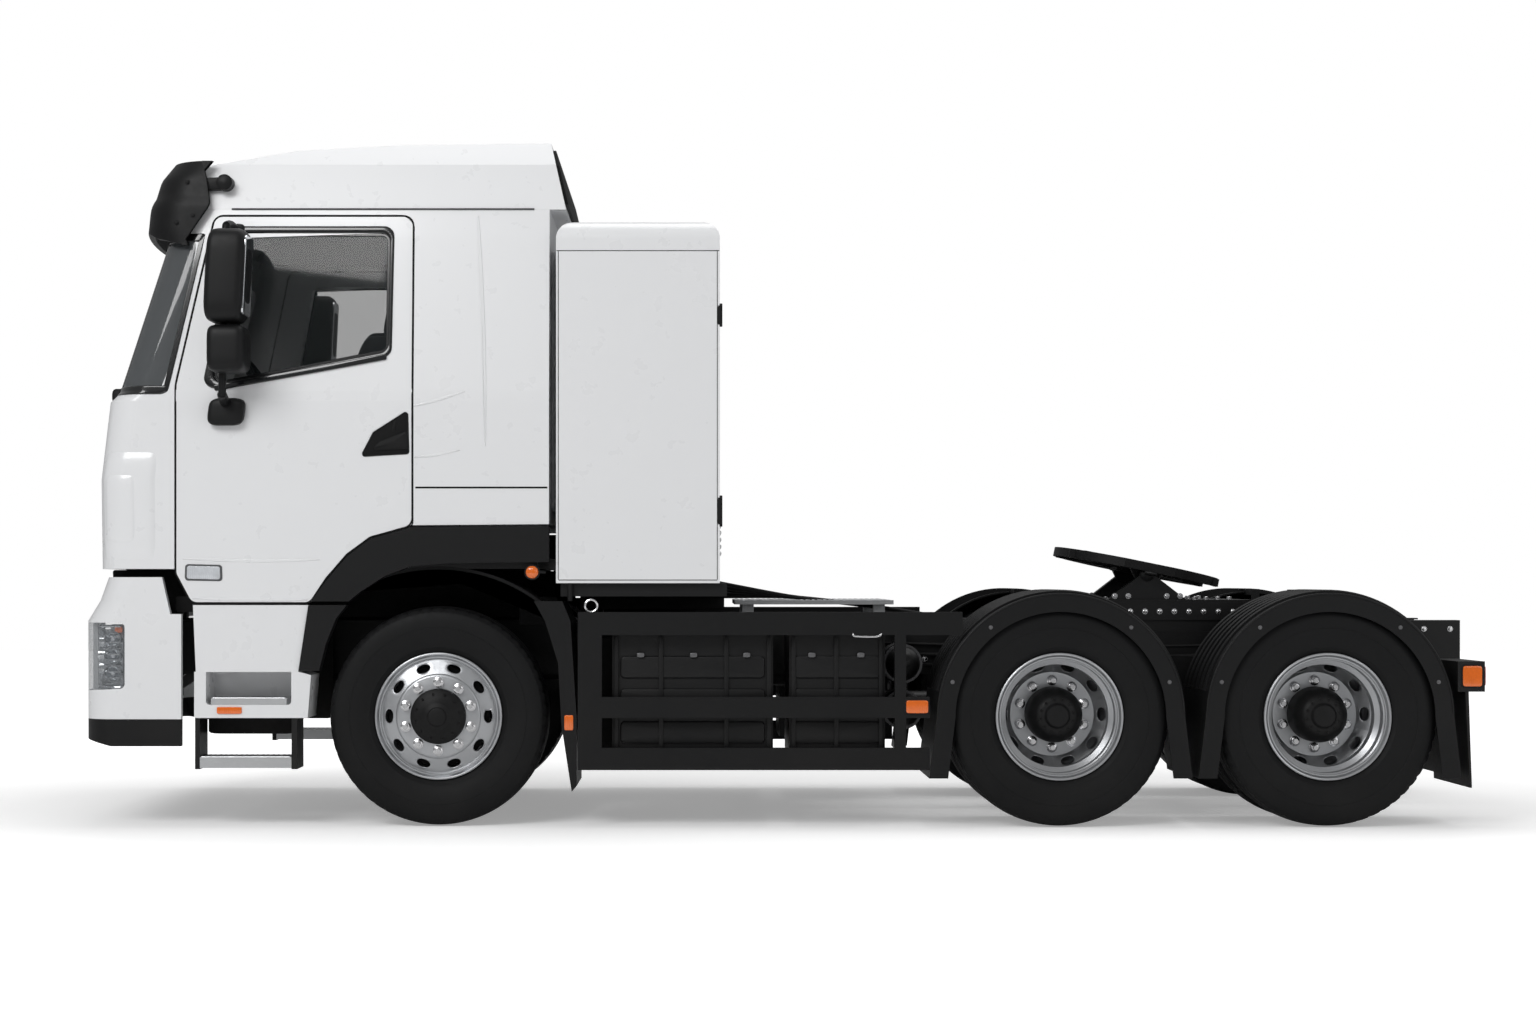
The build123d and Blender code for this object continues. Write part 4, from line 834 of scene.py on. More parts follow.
def holed_ring(inner, outer, middle, gauge=0.011):
    """A cone of plate with ten oval hand holes, as ten closed cells: each runs from its oval, with
    half axes a and b, out to the cell's own edges, where the larger of |cos t| and |sin t| is one."""
    t = np.linspace(0, 2 * np.pi, 48, endpoint=False)[:, None]
    c, s = np.cos(t), np.sin(t)
    square = 1 / np.maximum(np.abs(c), np.abs(s))
    edge_turn = c * square * np.pi / HAND_HOLES
    edge_radius = (inner[0] + outer[0]) / 2 + s * square * (outer[0] - inner[0]) / 2
    hole_turn, hole_radius = HOLE_SIZE[0] / 2 * c / middle, middle + HOLE_SIZE[1] / 2 * s
    share = np.array([0.0, 0.05, 0.14, 0.45, 1.0])[None, :]
    turn = hole_turn + (edge_turn - hole_turn) * share
    radius = hole_radius + (edge_radius - hole_radius) * share
    face = np.interp(radius, (inner[0], outer[0]), (inner[1], outer[1]))
    front = face + np.array([-0.0030, 0.0005, 0.0016, 0.0, 0.0])
    turn, radius = np.hstack([turn, turn[:, ::-1]]), np.hstack([radius, radius[:, ::-1]])
    y = np.hstack([front, (face - gauge)[:, ::-1]])
    cells = []
    for n in range(HAND_HOLES):
        angle = turn + (n + 0.5) * 2 * np.pi / HAND_HOLES
        rings = np.stack([radius * np.sin(angle), y, radius * np.cos(angle)], axis=-1)
        cells.append(tube_surface(rings, closed_path=True))
    return joined(cells)


def wheel_body(kind):
    """Rims, a disc with hand holes and the hub, about the wheel's own middle."""
    rims = [lathe(RIM_SECTION, (0, y, 0)) for y in kind.tyres_y]
    plates = [lathe(section, (0, 0, 0)) for section in (kind.disc, *kind.inside)]
    return joined([*rims, *plates, holed_ring(*kind.ring), turned(kind.hub, (0, 0, 0), 64)])


def stud(y):
    """A small domed screw head that stands on a cap at y."""
    return turned(((0, y + 0.0075), (0.004, y + 0.0075), (0.0065, y + 0.005), (0.0070, y - 0.006),
                   (0, y - 0.006)), (0, 0, 0), 8)


def wheel_parts(kind, nut_count):
    """The parts of a wheel about its own middle: name, shape, slot, finish and smoothing angle."""
    face = kind.face
    screw_radius, screw_y = kind.studs
    screws = around(stud(screw_y), CAP_STUDS, screw_radius, 0.2)
    # A dust shield behind the hand holes, near black so that the holes show dark: a real part, and partly
    # painted shade.
    shield = lathe(((0.150, face - 0.070), (0.249, face - 0.070), (0.249, face - 0.085),
                    (0.150, face - 0.085)), (0, 0, 0), 64)
    nut_points, nut_faces = wheel_nut(face, face + NUT_STANDS)
    nuts = around((nut_points * (NUT_SPREAD, 1.0, NUT_SPREAD), nut_faces), nut_count, NUT_CIRCLE, 0.31)
    valve = bar((0.235, face - 0.01, 0.03), (0.262, face + 0.045, 0.036), 0.004, 8)
    return (("tyres", joined([treaded_tyre((0, y, 0)) for y in kind.tyres_y]), "tyre", "tyre_rubber", 28.0),
            ("hub_cap", joined([turned(kind.cap, (0, 0, 0), 64), screws]), "cast", "cast_black", 35.0),
            ("wheel", wheel_body(kind), "wheel_silver", "wheel_silver", 32.0),
            ("brake_drum", joined([lathe(kind.drum, (0, 0, 0), 64), shield]), "cast", "dark_liner", 35.0),
            ("wheel_nuts", joined([nuts, valve]), "wheel_silver", "bright_steel", 35.0))


def build_wheels(settings):
    """Tyres, hub caps, wheels, brake drums, nuts and valves on all six wheel bodies."""
    parts = {kind: wheel_parts(kind, settings.nut_count) for kind in (FRONT_KIND, TWIN_KIND)}
    for side, sign in SIDES.items():
        for label, body, tyre_node, wheel_node, x, kind in WHEEL_ROWS:
            nodes = {"tyres": (f"{tyre_node}_{side}",), "wheel": (f"{wheel_node}_{side}",)}
            for name, shape, slot, finish, angle in parts[kind]:
                placed = for_side(moved(shape, (x, kind.y, HUB_Z)), sign)
                piece(f"{name}_{label}_{side}", placed, f"{body}_{side}", slot, finish, angle,
                      nodes.get(name, ()))


# Each mirror: its housing's low and high corners, how far its glass leans and how deep it sits.
MIRROR_ROWS = (((-2.784, 1.330, 2.436), (-2.588, 1.590, 2.884), 0.05, 0.004),
               ((-2.778, 1.330, 2.200), (-2.592, 1.570, 2.426), 0.0, 0.012))
GLASS_MARGIN = np.array((0.03, 0.035))


def mirror_pane(low, high, lean, deep):
    """A mirror's glass: a rounded plate over the housing's rear, sheared by the height over its middle."""
    middle = (low[2] + high[2]) / 2

    def place(flat, depth):
        x = high[0] - deep + depth + (flat[:, 1] - middle) * lean
        return np.stack([x, flat[:, 0], flat[:, 1]], axis=1)
    loop = rounded_rectangle(low[1:] + GLASS_MARGIN, high[1:] - GLASS_MARGIN, 0.03)
    return pillow_plate(loop, -0.012, 0.003, 0.003, place)


def build_mirrors():
    """Rounded mirror housings, their glass, arms and foot, standing for the CAD mirrors on both doors."""
    shells = [soft_box(low, high, 5.5, 22, 44, (lean, 0.0)) for low, high, lean, _ in MIRROR_ROWS]
    foot = soft_box((-2.818, 1.236, 1.958), (-2.640, 1.304, 2.092), 4.0, 14, 28, (0.12, 0))
    stem = carried(smooth_path([(-2.725, 1.405, 2.090), (-2.722, 1.418, 2.24), (-2.716, 1.42, 2.60),
                                (-2.705, 1.41, 2.915)]), circle_loop(0.019, 12), (1, 0, 0))
    low_arm = carried(smooth_path([(-2.735, 1.262, 2.062), (-2.73, 1.32, 2.075), (-2.724, 1.412, 2.098)]),
                      circle_loop(0.024, 12))
    top_arm = carried(smooth_path([(-2.70, 1.1925, 2.925), (-2.70, 1.26, 2.930), (-2.702, 1.34, 2.928),
                                   (-2.704, 1.414, 2.912)]), circle_loop(0.0185, 12))
    pad = soft_box((-2.745, 1.180, 2.896), (-2.655, 1.2, 2.95), 4.0, 8, 20)
    on_doors("mirror_housing", joined([*shells, foot, stem, low_arm, top_arm, pad]), "black_plastic",
             "black_plastic", 40, ("mirror",))
    on_doors("mirror_glass", joined([mirror_pane(*row) for row in MIRROR_ROWS]), "glass", "mirror_silver")


SEATS = {"left": -0.56, "right": 0.56}
SEAM_AT = 0.56
SEAM_WIDTH = 0.07


def cushion_form(y, low, high, tuck, lean, rows=30, columns=48):
    """A stuffed form: a superellipsoid whose sides swell, less a groove along a seam on both sides."""
    low, high = np.array(low) + (0, y, 0), np.array(high) + (0, y, 0)
    points, faces = soft_box(low, high, 4.2, rows, columns, lean)
    centre, half = (low + high) / 2, (high - low) / 2
    local = (points - centre) / half
    groove = np.exp(-((np.abs(local[:, 1]) - SEAM_AT) / SEAM_WIDTH) ** 2) * tuck
    return points - local * half * (groove / half.min())[:, None] * 0.5, faces


def build_seats(settings):
    """Two stuffed seats: base box, cushion, back, head rest and arm rests."""
    for label, y in SEATS.items():
        cushion = cushion_form(y, (-2.66, -0.255, 1.615), (-2.10, 0.255, 1.775), 0.020, (0.0, 0))
        back = cushion_form(y, (-2.235, -0.245, 1.69), (-2.035, 0.245, 2.47), 0.022, (0.22, 0), 36)
        head = cushion_form(y, (-2.035, -0.135, 2.44), (-1.925, 0.135, 2.655), 0.006, (0.18, 0), 18, 36)
        pads = piece("seat_pads_" + label, joined([cushion, back, head]), "cab", "cloth", "seat_cloth", 60,
                     ("seats",) if label == "left" else ())
        stand = [soft_box((-2.56, y - 0.18, 1.323), (-2.16, y + 0.18, 1.645), 9, 14, 36)]
        for s in (-1, 1):
            rest = y + s * 0.275
            stand += [bar((-2.0, y + s * 0.05, 2.36), (-1.985, y + s * 0.05, 2.50), 0.008),
                      soft_box((-2.42, rest - 0.03, 1.93), (-2.10, rest + 0.03, 1.985), 4, 10, 20),
                      bar((-2.105, y + s * 0.262, 1.955), (-2.105, y + s * 0.225, 1.955), 0.02)]
        piece("seat_base_" + label, joined(stand), "cab", "black_plastic", "soft_black")


HANDLE_LOOP = ((-2.085, 1.807), (-2.022, 1.928), (-1.850, 2.038), (-1.844, 1.821))
GRIP_LOOP = ((-2.034, 1.838), (-1.990, 1.882), (-1.852, 1.936), (-1.848, 1.846))
HANDLE_WEB = ((-1.930, 1.930), (-1.915, 1.936), (-1.905, 1.990), (-1.920, 1.982))
WINDOW_LOOP = ((-2.806, 2.158), (-1.950, 2.324), (-1.944, 2.904), (-2.668, 2.904))
WINDOW_SURROUND = ((-2.858, 2.130), (-1.932, 2.300), (-1.922, 2.939), (-2.702, 2.939))
WINDOW_SILL = ((-2.790, 2.128), (-1.955, 2.282), (-1.957, 2.312), (-2.800, 2.158))
REPEATER_RIM = ((-2.938, 1.206), (-2.754, 1.202), (-2.756, 1.282), (-2.936, 1.286))
REPEATER_LENS = ((-2.928, 1.214), (-2.764, 1.210), (-2.766, 1.274), (-2.926, 1.278))
DOOR_EDGE = ((-2.981, 1.240), (-2.905, 1.098), (-2.330, 1.098), (-2.252, 1.216), (-2.150, 1.334),
             (-2.036, 1.418), (-1.832, 1.475), (-1.832, 2.988), (-2.800, 2.988), (-2.981, 2.160))
DOOR_LINES = (((-2.948, 1.312), (-2.62, 1.302), (-2.28, 1.306)),
              ((-2.900, 1.118), (-2.62, 1.112), (-2.34, 1.112)))


def ridge(points, width):
    """A thin loop either side of a line of (x, z) points."""
    line = smooth_path(points, 6)
    tangent = np.gradient(line, axis=0)
    tangent /= np.linalg.norm(tangent, axis=1)[:, None]
    normal = np.stack([-tangent[:, 1], tangent[:, 0]], axis=1) * width / 2
    taper = np.sin(np.linspace(0.12, np.pi - 0.12, len(line)))[:, None] ** 0.5
    return np.vstack([line + normal * taper, (line - normal * taper)[::-1]])


def build_door_trim():
    """Window surrounds, seals, handles, repeaters and pressed lines on both doors."""
    outer = rounded_loop(WINDOW_SURROUND, 0.050, 8)
    inner = rounded_loop(WINDOW_LOOP, 0.042, 8)
    rows = ((outer, -0.006), (outer, 0.003), (inset_loop(outer, 0.004), 0.005),
            (inset_loop(inner, -0.006), 0.005), (inner, 0.002), (inner, -0.012))
    surround = loop_frame(rows, on_cab_side)
    seal = side_band(inset_loop(inner, -0.002), 0.014, -0.006, 0.016)
    sill = side_skin(rounded_loop(WINDOW_SILL, 0.008), 0.010, 0.0)
    on_doors("window_surround", joined([surround, seal, sill]), "black_plastic", "gloss_black")

    pocket = rounded_loop(HANDLE_LOOP, 0.014)
    on_doors("handle_dish", side_skin(pocket, 0.0016, 0.003, 0.001), "black_plastic", "dark_liner")
    edge = side_band(pocket, 0.006, 0.0042, 0.003)
    grip = side_skin(rounded_loop(GRIP_LOOP, 0.012), 0.0125, 0.003, 0.010)
    web = side_skin(rounded_loop(HANDLE_WEB, 0.006), 0.0050, 0.003, 0.003)
    lock = turned(((0, 1.2505), (0.009, 1.2505), (0.012, 1.2490), (0.012, 1.2385), (0, 1.2385)),
                  (-1.868, 0, 1.872), 20)
    on_doors("door_handle", joined([edge, grip, web, lock]), "black_plastic", "soft_black")

    rim = side_skin(rounded_loop(REPEATER_RIM, 0.016), 0.004, 0.004, 0.003)
    on_doors("repeater_rim", rim, "trim_grey", "trim_grey")
    glow = side_skin(rounded_loop(REPEATER_LENS, 0.012), 0.0095, 0.001, 0.005)
    on_doors("repeater", glow, "lamp_lens", "clear_lens")
    lines = [side_skin(ridge(path, 0.016), 0.0035, 0.002, 0.003) for path in DOOR_LINES]
    on_doors("door_lines", joined(lines), "white_paint", "white_paint", 60)

    loop = inset_loop(dense(rounded_loop(DOOR_EDGE, 0.045, 6), 0.10), -0.0060)
    gap = side_band(loop, 0.0085, 0.0006, 0.020)
    for side, sign in SIDES.items():
        piece("door_seal_" + side, for_side(gap, sign), "cab", "black_plastic", "dark_liner")


PATCH_SUNK = 0.008


def corner_patch(heights, first, last, proud, fade=8):
    """A panel on the cab's side and front corner: places along its plan, measured from where the corner
    starts and given at the low and high end, by heights. Its lift is one less an even power of both."""
    s = np.linspace(-1, 1, 25)[None, :]
    t = np.linspace(-1, 1, 29)[:, None]
    z = heights[0] + (t + 1) / 2 * (heights[1] - heights[0])
    near, far = np.interp(z, heights, first), np.interp(z, heights, last)
    half, corner = np.interp(z, CAB_HEIGHTS, CAB_HALVES), np.interp(z, CAB_HEIGHTS, CAB_CORNERS)
    arc = (half ** 2 + FRONT_BULGE ** 2) / (2 * FRONT_BULGE)
    centre_y = half - corner
    centre_x = (np.interp(z, CAB_HEIGHTS, CAB_FRONTS) + arc - np.sqrt((arc - corner) ** 2 - centre_y ** 2))
    along = (near + far) / 2 + s * (far - near) / 2 * (1 - 0.10 * np.abs(t) ** 6)
    turn = np.clip(along / corner, 0, np.pi / 2)
    past = np.maximum(along - corner * np.pi / 2, 0)
    lift = proud * (1 - s ** fade) * (1 - t ** fade)

    def sheet(radius):
        x = centre_x + np.maximum(-along, 0) - radius * np.sin(turn) - 0.05 * past
        y = centre_y + radius * np.cos(turn) - past
        return np.stack([x, y, np.broadcast_to(z, turn.shape)], axis=-1)
    outside, inside = sheet(corner + lift - 0.0006), sheet(corner - PATCH_SUNK)
    return tube_surface(np.concatenate([outside, inside[:, ::-1]], axis=1))


def wiper(foot, tip):
    """A wiper on the screen: its arm, its blade and the box it turns on."""
    y = np.linspace(foot, tip, 9)
    z = np.linspace(2.150, 2.250, 9) + 0.022 * np.sin(np.linspace(0, np.pi, 9))
    arm = np.stack([cab_front(y, z) - 0.046, y, z], axis=1)
    y, z = np.linspace(tip - 0.30, tip + 0.30, 21), np.linspace(2.222, 2.272, 21)
    blade = np.stack([cab_front(y, z) - 0.024, y, z], axis=1)
    section = np.array([(-0.006, -0.013), (0.006, -0.013), (0.009, 0.010), (-0.009, 0.010)])
    x = float(cab_front(foot, 2.12))
    return joined([carried(arm, circle_loop(0.0075, 8) * (1, 0.7)), carried(blade, section),
                   soft_box((x - 0.060, foot - 0.026, 2.090), (x + 0.004, foot + 0.026, 2.168), 3, 8, 16)])


def on_roof_rear(flat, depth):
    """A loop of (y, z) laid on the roof's leaning rear and lifted off it by depth."""
    lean = np.interp(flat[:, 1], (3.0223, 3.370), (-1.085, -1.165))
    return np.stack([lean + depth, flat[:, 0], flat[:, 1]], axis=1)


def build_cab_trim():
    """Windscreen surround, wipers, corner panels, roof line and rear wall ribs on the cab."""
    outer = rounded_loop([(-1.150, 2.118), (1.150, 2.118), (1.082, 2.905), (-1.082, 2.905)], 0.085, 8)
    inner = rounded_loop([(-1.112, 2.158), (1.112, 2.158), (1.042, 2.860), (-1.042, 2.860)], 0.060, 8)
    rows = ((outer, -0.004), (outer, 0.002), (inset_loop(outer, 0.005), 0.004),
            (inset_loop(inner, -0.005), 0.004), (inner, 0.001), (inner, -0.010))
    piece("screen_surround", loop_frame(rows, on_cab_front), "cab", "black_plastic", "gloss_black")
    wipers = [wiper(foot, tip) for foot, tip in ((-0.86, -0.16), (-0.10, 0.60))]
    piece("wipers", joined(wipers), "cab", "black_plastic", "soft_black", 40)

    pads = [corner_patch((1.306, 1.832), (-0.140, -0.140), (0.150, 0.150), 0.012),
            corner_patch((1.372, 1.742), (-0.052, -0.052), (0.120, 0.120), 0.018)]
    piece("corner_panels", both_sides(joined(pads)), "cab", "white_paint", "white_paint", 50)
    pane = corner_patch((2.150, 2.872), (-0.070, 0.012), (0.236, 0.262), 0.0030, 60)
    piece("screen_corners", both_sides(pane), "cab", "glass", "wrap_glass", 50)
    edges = [corner_patch((2.118, 2.900), (-0.096, -0.010), (-0.066, 0.016), 0.0058, 12),
             corner_patch((2.112, 2.156), (-0.094, -0.094), (0.240, 0.240), 0.0058, 12),
             corner_patch((2.862, 2.904), (-0.010, -0.010), (0.262, 0.262), 0.0058, 12)]
    piece("screen_corner_edges", both_sides(joined(edges)), "cab", "black_plastic", "gloss_black", 50)

    drip = np.linspace((-2.72, 1.176, 3.0235), (-1.24, 1.176, 3.0235), 30)
    piece("roof_seal", both_sides(carried(drip, circle_loop(0.0050, 8))), "cab", "trim_grey", "trim_grey")
    # Painted shade: a near-black plate on the roof's leaning rear stands for the shaded hollow inside the
    # roof's open back.
    loop = [(1.136, 3.055), (1.090, 3.250), (1.018, 3.338), (-1.018, 3.338), (-1.090, 3.250),
            (-1.136, 3.055)]
    rear_shade_plate = pillow_plate(dense(rounded_loop(loop, 0.03), 0.08), -0.004, 0.016, 0.002, on_roof_rear)
    piece("roof_rear_opening", rear_shade_plate, "cab", "black_plastic", "dark_liner")
    ribs = [pillow_plate(rounded_rectangle((y - 0.05, 1.55), (y + 0.05, 2.85), 0.04), -1.170, -1.152, 0.010,
                         on_front) for y in np.linspace(-0.9, 0.9, 7)]
    piece("rear_wall_ribs", joined(ribs), "cab", "white_paint", "white_paint")


QUARTER_MARKS = (([(-1.475, 1.86), (-1.482, 2.30), (-1.500, 2.72), (-1.515, 2.99)], 0.02),
                 ([(-1.822, 2.056), (-1.72, 2.082), (-1.574, 2.128)], 0.014),
                 ([(-1.820, 1.806), (-1.72, 1.818), (-1.598, 1.842)], 0.014))


def build_rear_quarter():
    """The fixed side of the cab behind the door: pressed creases and a seam on both sides."""
    creases = [side_skin(ridge(path, width), 0.004, 0.002, 0.003) for path, width in QUARTER_MARKS]
    piece("quarter_creases", both_sides(joined(creases)), "cab", "white_paint", "white_paint", 60)
    seam = side_skin(rounded_rectangle((-1.815, 1.654), (-1.172, 1.663), 0.002, 3), 0.0008, 0.002, 0.0004)
    piece("quarter_seams", both_sides(seam), "cab", "black_plastic", "dark_liner")


LAMP_INSIDE = 0.044
LAMP_HEIGHTS = (0.676, 0.688, 0.975, 0.988)
FRONT_BOWLS = ((1.000, 0.905, 0.050), (1.000, 0.772, 0.058), (1.105, 0.840, 0.036))
SIDE_BOWLS = ((-3.302, 0.918, 0.036), (-3.302, 0.836, 0.036), (-3.302, 0.752, 0.038))
BOWL_DEPTH = 0.036
BULB_AHEAD = 0.018


def lamp_line(inset):
    """The bumper's plan behind the clear cover, from its inner end round to the side, moved in."""
    half = BUMPER_HALF - inset
    y = 0.925 + (half - 0.925) * np.sin(np.linspace(0, np.pi / 2, 22))
    x = curved_front(y, half, BUMPER_FRONT + inset, BUMPER_CORNER - inset * 0.8)
    return np.vstack([np.stack([x, y], axis=1), [(-3.262, half)]])


def at_height(line, z):
    """A plan line of (x, y) raised to a height."""
    return np.column_stack([line, np.full(len(line), z)])


def lamp_bowl(radius):
    """A lamp's bowl, open along Y: a quarter ellipse turned about the axis, with a rim and a back."""
    t = np.linspace(0, np.pi / 2, 7)
    cup = np.stack([radius * np.sin(t), -BOWL_DEPTH * np.cos(t)], axis=1)
    profile = np.vstack([cup, [(radius + 0.006, 0.0), (radius + 0.006, -0.050), (0, -0.050)]])
    return turned(profile, (0, 0, 0), 28)


def build_headlamps():
    """Lamp housings, bowls, strips and an amber corner behind the clear covers."""
    plan = np.vstack([lamp_line(LAMP_INSIDE + 0.052), lamp_line(LAMP_INSIDE + 0.100)[::-1]])
    housing = tube_surface([at_height(plan, z) for z in LAMP_HEIGHTS])
    piece("lamp_housings", both_sides(housing), "chassis", "lamp_lens", "aluminium")
    bright, bulbs = [], []
    for y, z, radius in FRONT_BOWLS:
        points, faces = lamp_bowl(radius)
        facing = np.stack([-points[:, 1], points[:, 0], points[:, 2]], axis=1)
        centre = np.array((bumper_front(y + radius) + LAMP_INSIDE + 0.004, y, z))
        bright.append((facing + centre, outward(facing + centre, faces)))
        bulbs.append((centre + (BULB_AHEAD, 0, 0), radius))
    for x, z, radius in SIDE_BOWLS:
        centre = np.array((x, BUMPER_HALF - LAMP_INSIDE - 0.002, z))
        bright.append(moved(lamp_bowl(radius), centre))
        bulbs.append((centre - (0, BULB_AHEAD, 0), radius))
    strip_line, bezel_line = lamp_line(LAMP_INSIDE + 0.010)[16:], lamp_line(LAMP_INSIDE + 0.006)
    bright += [carried(at_height(strip_line, z), circle_loop(0.0045, 6))
               for z in np.linspace(0.700, 0.960, 10)]
    bright += [carried(at_height(bezel_line, z), circle_loop(0.007, 8)) for z in (0.683, 0.982)]
    piece("lamp_reflectors", both_sides(joined(bright)), "chassis", "lamp_lens", "mirror_silver")
    balls = [soft_box(tip - 0.3 * radius, tip + 0.3 * radius, 2, 10, 20) for tip, radius in bulbs]
    piece("lamp_bulbs", both_sides(joined(balls)), "chassis", "lamp_lens", "clear_lens")
    corner = soft_box((-3.292, 1.1700, 0.950), (-3.252, 1.1905, 0.984), 4, 10, 22)
    piece("lamp_indicators", both_sides(corner), "chassis", "lamp_lens", "amber_lens")


MARKERS = (((-1.090, 1.2225, 0.476), (-1.046, 1.2415, 0.550)),
           ((0.575, 1.2385, 0.560), (0.682, 1.2530, 0.622)),
           ((3.285, 1.2385, 0.690), (3.378, 1.2505, 0.790)),
           ((-2.782, 1.2330, 0.556), (-2.660, 1.2440, 0.590)),
           ((3.386, 1.12, 0.726), (3.408, 1.16, 0.756)))
MARKER_BACKS = (((0.566, 1.2300, 0.552), (0.691, 1.2440, 0.630)),
                ((3.278, 1.2300, 0.683), (3.385, 1.2440, 0.797)))
STOP_LAMPS = (((3.385, 0.915, 0.690), (3.405, 1.045, 0.790)), ((3.385, 1.055, 0.690), (3.405, 1.225, 0.790)))
REVERSE_LAMPS = (((3.385, 0.800, 0.690), (3.405, 0.905, 0.790)),)
DOME_AT = (-1.247, 0, 1.2465)
DOME = ((0, 1.2485), (0.012, 1.2480), (0.024, 1.2455), (0.0300, 1.2400), (0.0315, 1.2300), (0, 1.2300))
DOME_BACK = ((0, 1.2360), (0.037, 1.2360), (0.039, 1.2340), (0.039, 1.2290), (0, 1.2290))


def lamp_blocks(rows):
    """Small soft-edged lamps between their low and high corners."""
    return [soft_box(low, high, 9, 10, 24) for low, high in rows]


def build_marker_lamps():
    """Amber side markers, rear lamp clusters and their backing plates."""
    stem = bar((-1.232, 1.2300, 1.2465), (-1.180, 1.2300, 1.2450), 0.006, 8)
    amber = joined([*lamp_blocks(MARKERS), turned(DOME, DOME_AT, 28)])
    backs = joined([turned(DOME_BACK, DOME_AT, 28), stem, *lamp_blocks(MARKER_BACKS)])
    piece("marker_lamps", both_sides(amber), "chassis", "lamp_lens", "amber_lens")
    piece("marker_backs", both_sides(backs), "chassis", "black_plastic", "soft_black")
    for name, rows, finish in (("stop_lamps", STOP_LAMPS, "red_lens"),
                               ("reverse_lamps", REVERSE_LAMPS, "clear_lens")):
        piece(name, both_sides(joined(lamp_blocks(rows))), "chassis", "lamp_lens", finish)


def chequer(low, high, pitch, size):
    """Diamond-topped bars of a chequer plate: small lozenges in rows that lean each way in turn."""
    x = np.arange(low[0] + pitch * 0.7, high[0] - pitch * 0.5, pitch)
    y = np.arange(low[1] + pitch * 0.7, high[1] - pitch * 0.5, pitch)
    gx, gy = np.meshgrid(x, y, indexing="ij")
    lean = ((np.arange(len(x))[:, None] + np.arange(len(y))[None, :]) % 2).astype(bool)
    t = np.linspace(0, 2 * np.pi, 8, endpoint=False)
    flat = np.stack([size * np.cos(t), size * 0.30 * np.sin(t)], axis=1)
    turn = np.pi / 4
    spin = np.array(((np.cos(turn), -np.sin(turn)), (np.sin(turn), np.cos(turn))))
    shapes = []
    for mask, rotate in ((lean, spin), (~lean, spin.T)):
        loop = flat @ rotate.T
        base = on_top(loop, -0.001)
        top = on_top(loop * 0.55, 0.0022)
        lozenge = tube_surface(np.array([base, top]))
        places = np.stack([gx[mask], gy[mask], np.full(mask.sum(), high[2])], axis=1)
        shapes.append(repeated(lozenge, places))
    return joined(shapes)


TREADS = (((-2.812, 1.025, 0.6), (-2.444, 1.232, 0.632)), ((-2.866, 1.035, 0.292), (-2.420, 1.232, 0.345)))


def build_treads():
    """Chequer bars on the steps and the walkway, with a round nose along each step."""
    steps = [chequer(low, high, 0.026, 0.0135) for low, high in TREADS]
    steps += [bar((low[0] + 0.006, 1.2310, high[2] + 0.0005), (high[0] - 0.006, 1.2310, high[2] + 0.0005),
                  0.0035, 8) for low, high in TREADS]
    piece("step_chequer", both_sides(joined(steps)), "chassis", "aluminium", "aluminium")
    walkway = chequer((-0.25, -0.5, 1.082), (0.57, 0.5, 1.104), 0.030, 0.0155)
    piece("walkway_chequer", walkway, "chassis", "aluminium", "aluminium")


def hex_bolt(radius, height):
    """A bolt head along Y: a washer, then six sides to a chamfered crown."""
    t = np.linspace(0, 2 * np.pi, 12, endpoint=False)
    hexed = radius / np.cos((t + np.pi / 6) % (np.pi / 3) - np.pi / 6)
    rows = ((-0.002, radius * 1.5), (height * 0.25, radius * 1.5), (height * 0.25, hexed),
            (height * 0.85, hexed), (height, radius * 0.8))
    return tube_surface([np.stack([r * np.cos(t), np.full(12, y), r * np.sin(t)], axis=-1) for y, r in rows])


# Rows of frame bolts: from x, to x, y, z and how many.
BOLT_ROWS = ((1.42, 2.56, 0.4425, 1.046, 16), (0.62, 1.20, 0.4305, 0.960, 6), (0.62, 1.20, 0.4305, 0.800, 6),
             (2.92, 3.46, 0.4305, 0.955, 5), (2.92, 3.46, 0.4305, 0.775, 5), (1.70, 2.28, 0.4305, 0.900, 6),
             (1.70, 2.28, 0.4305, 0.790, 6))
TANK_X = 0.584
TANK_HEIGHTS = (0.560, 0.790)
TANK_RADIUS, TANK_HALF = 0.094, 0.27
MODULE_Y = 1.131
MODULE_SPANS = ((-0.82, -0.11), (0.03, 0.46))
MODULE_RIB_HEIGHTS = (0.62, 0.78, 0.46)
MODULE_POSTS = (-0.84, -0.62, -0.30, -0.09, 0.03, 0.24, 0.46)
LATCHES = tuple((x, z) for x in (-0.72, -0.46, -0.20, 0.12, 0.36) for z in (0.62, 0.84))


def front_hose(k):
    """One of the hoses that run from the cab back over the frame."""
    y = 0.16 + 0.035 * k
    path = smooth_path([(-0.36, -y, 1.120 + 0.02 * k), (0.10, -y - 0.02, 1.115), (0.55, -y, 1.060),
                        (0.95, -y + 0.03, 1.000), (1.34, -y + 0.05, 0.985)], 10)
    return carried(path, circle_loop(0.009 + 0.002 * (k % 2), 10))


def rail_hose(k):
    """One of the lines that run along the outside of a frame rail."""
    z = 0.770 + 0.052 * k
    path = smooth_path([(0.50, 0.446, z + 0.01), (0.85, 0.452, z), (1.30, 0.450, z - 0.006),
                        (1.98, 0.4485, z - 0.008), (2.60, 0.450, z + 0.004), (3.20, 0.446, z)], 10)
    return carried(path, circle_loop(0.008 + 0.003 * (k % 2), 8))


def air_tank(z):
    """An air tank across the frame with its end fitting: a round profile drawn out along the axis."""
    t = np.linspace(0, np.pi, 13)
    profile = np.stack([TANK_RADIUS * np.sin(t) ** 0.5, TANK_HALF * np.cos(t)], axis=1)
    profile[0, 0] = profile[-1, 0] = 0
    return joined([turned(profile, (TANK_X, 0.770, z), 36),
                   bar((TANK_X, 1.030, z), (TANK_X, 1.050, z), 0.018, 12)])


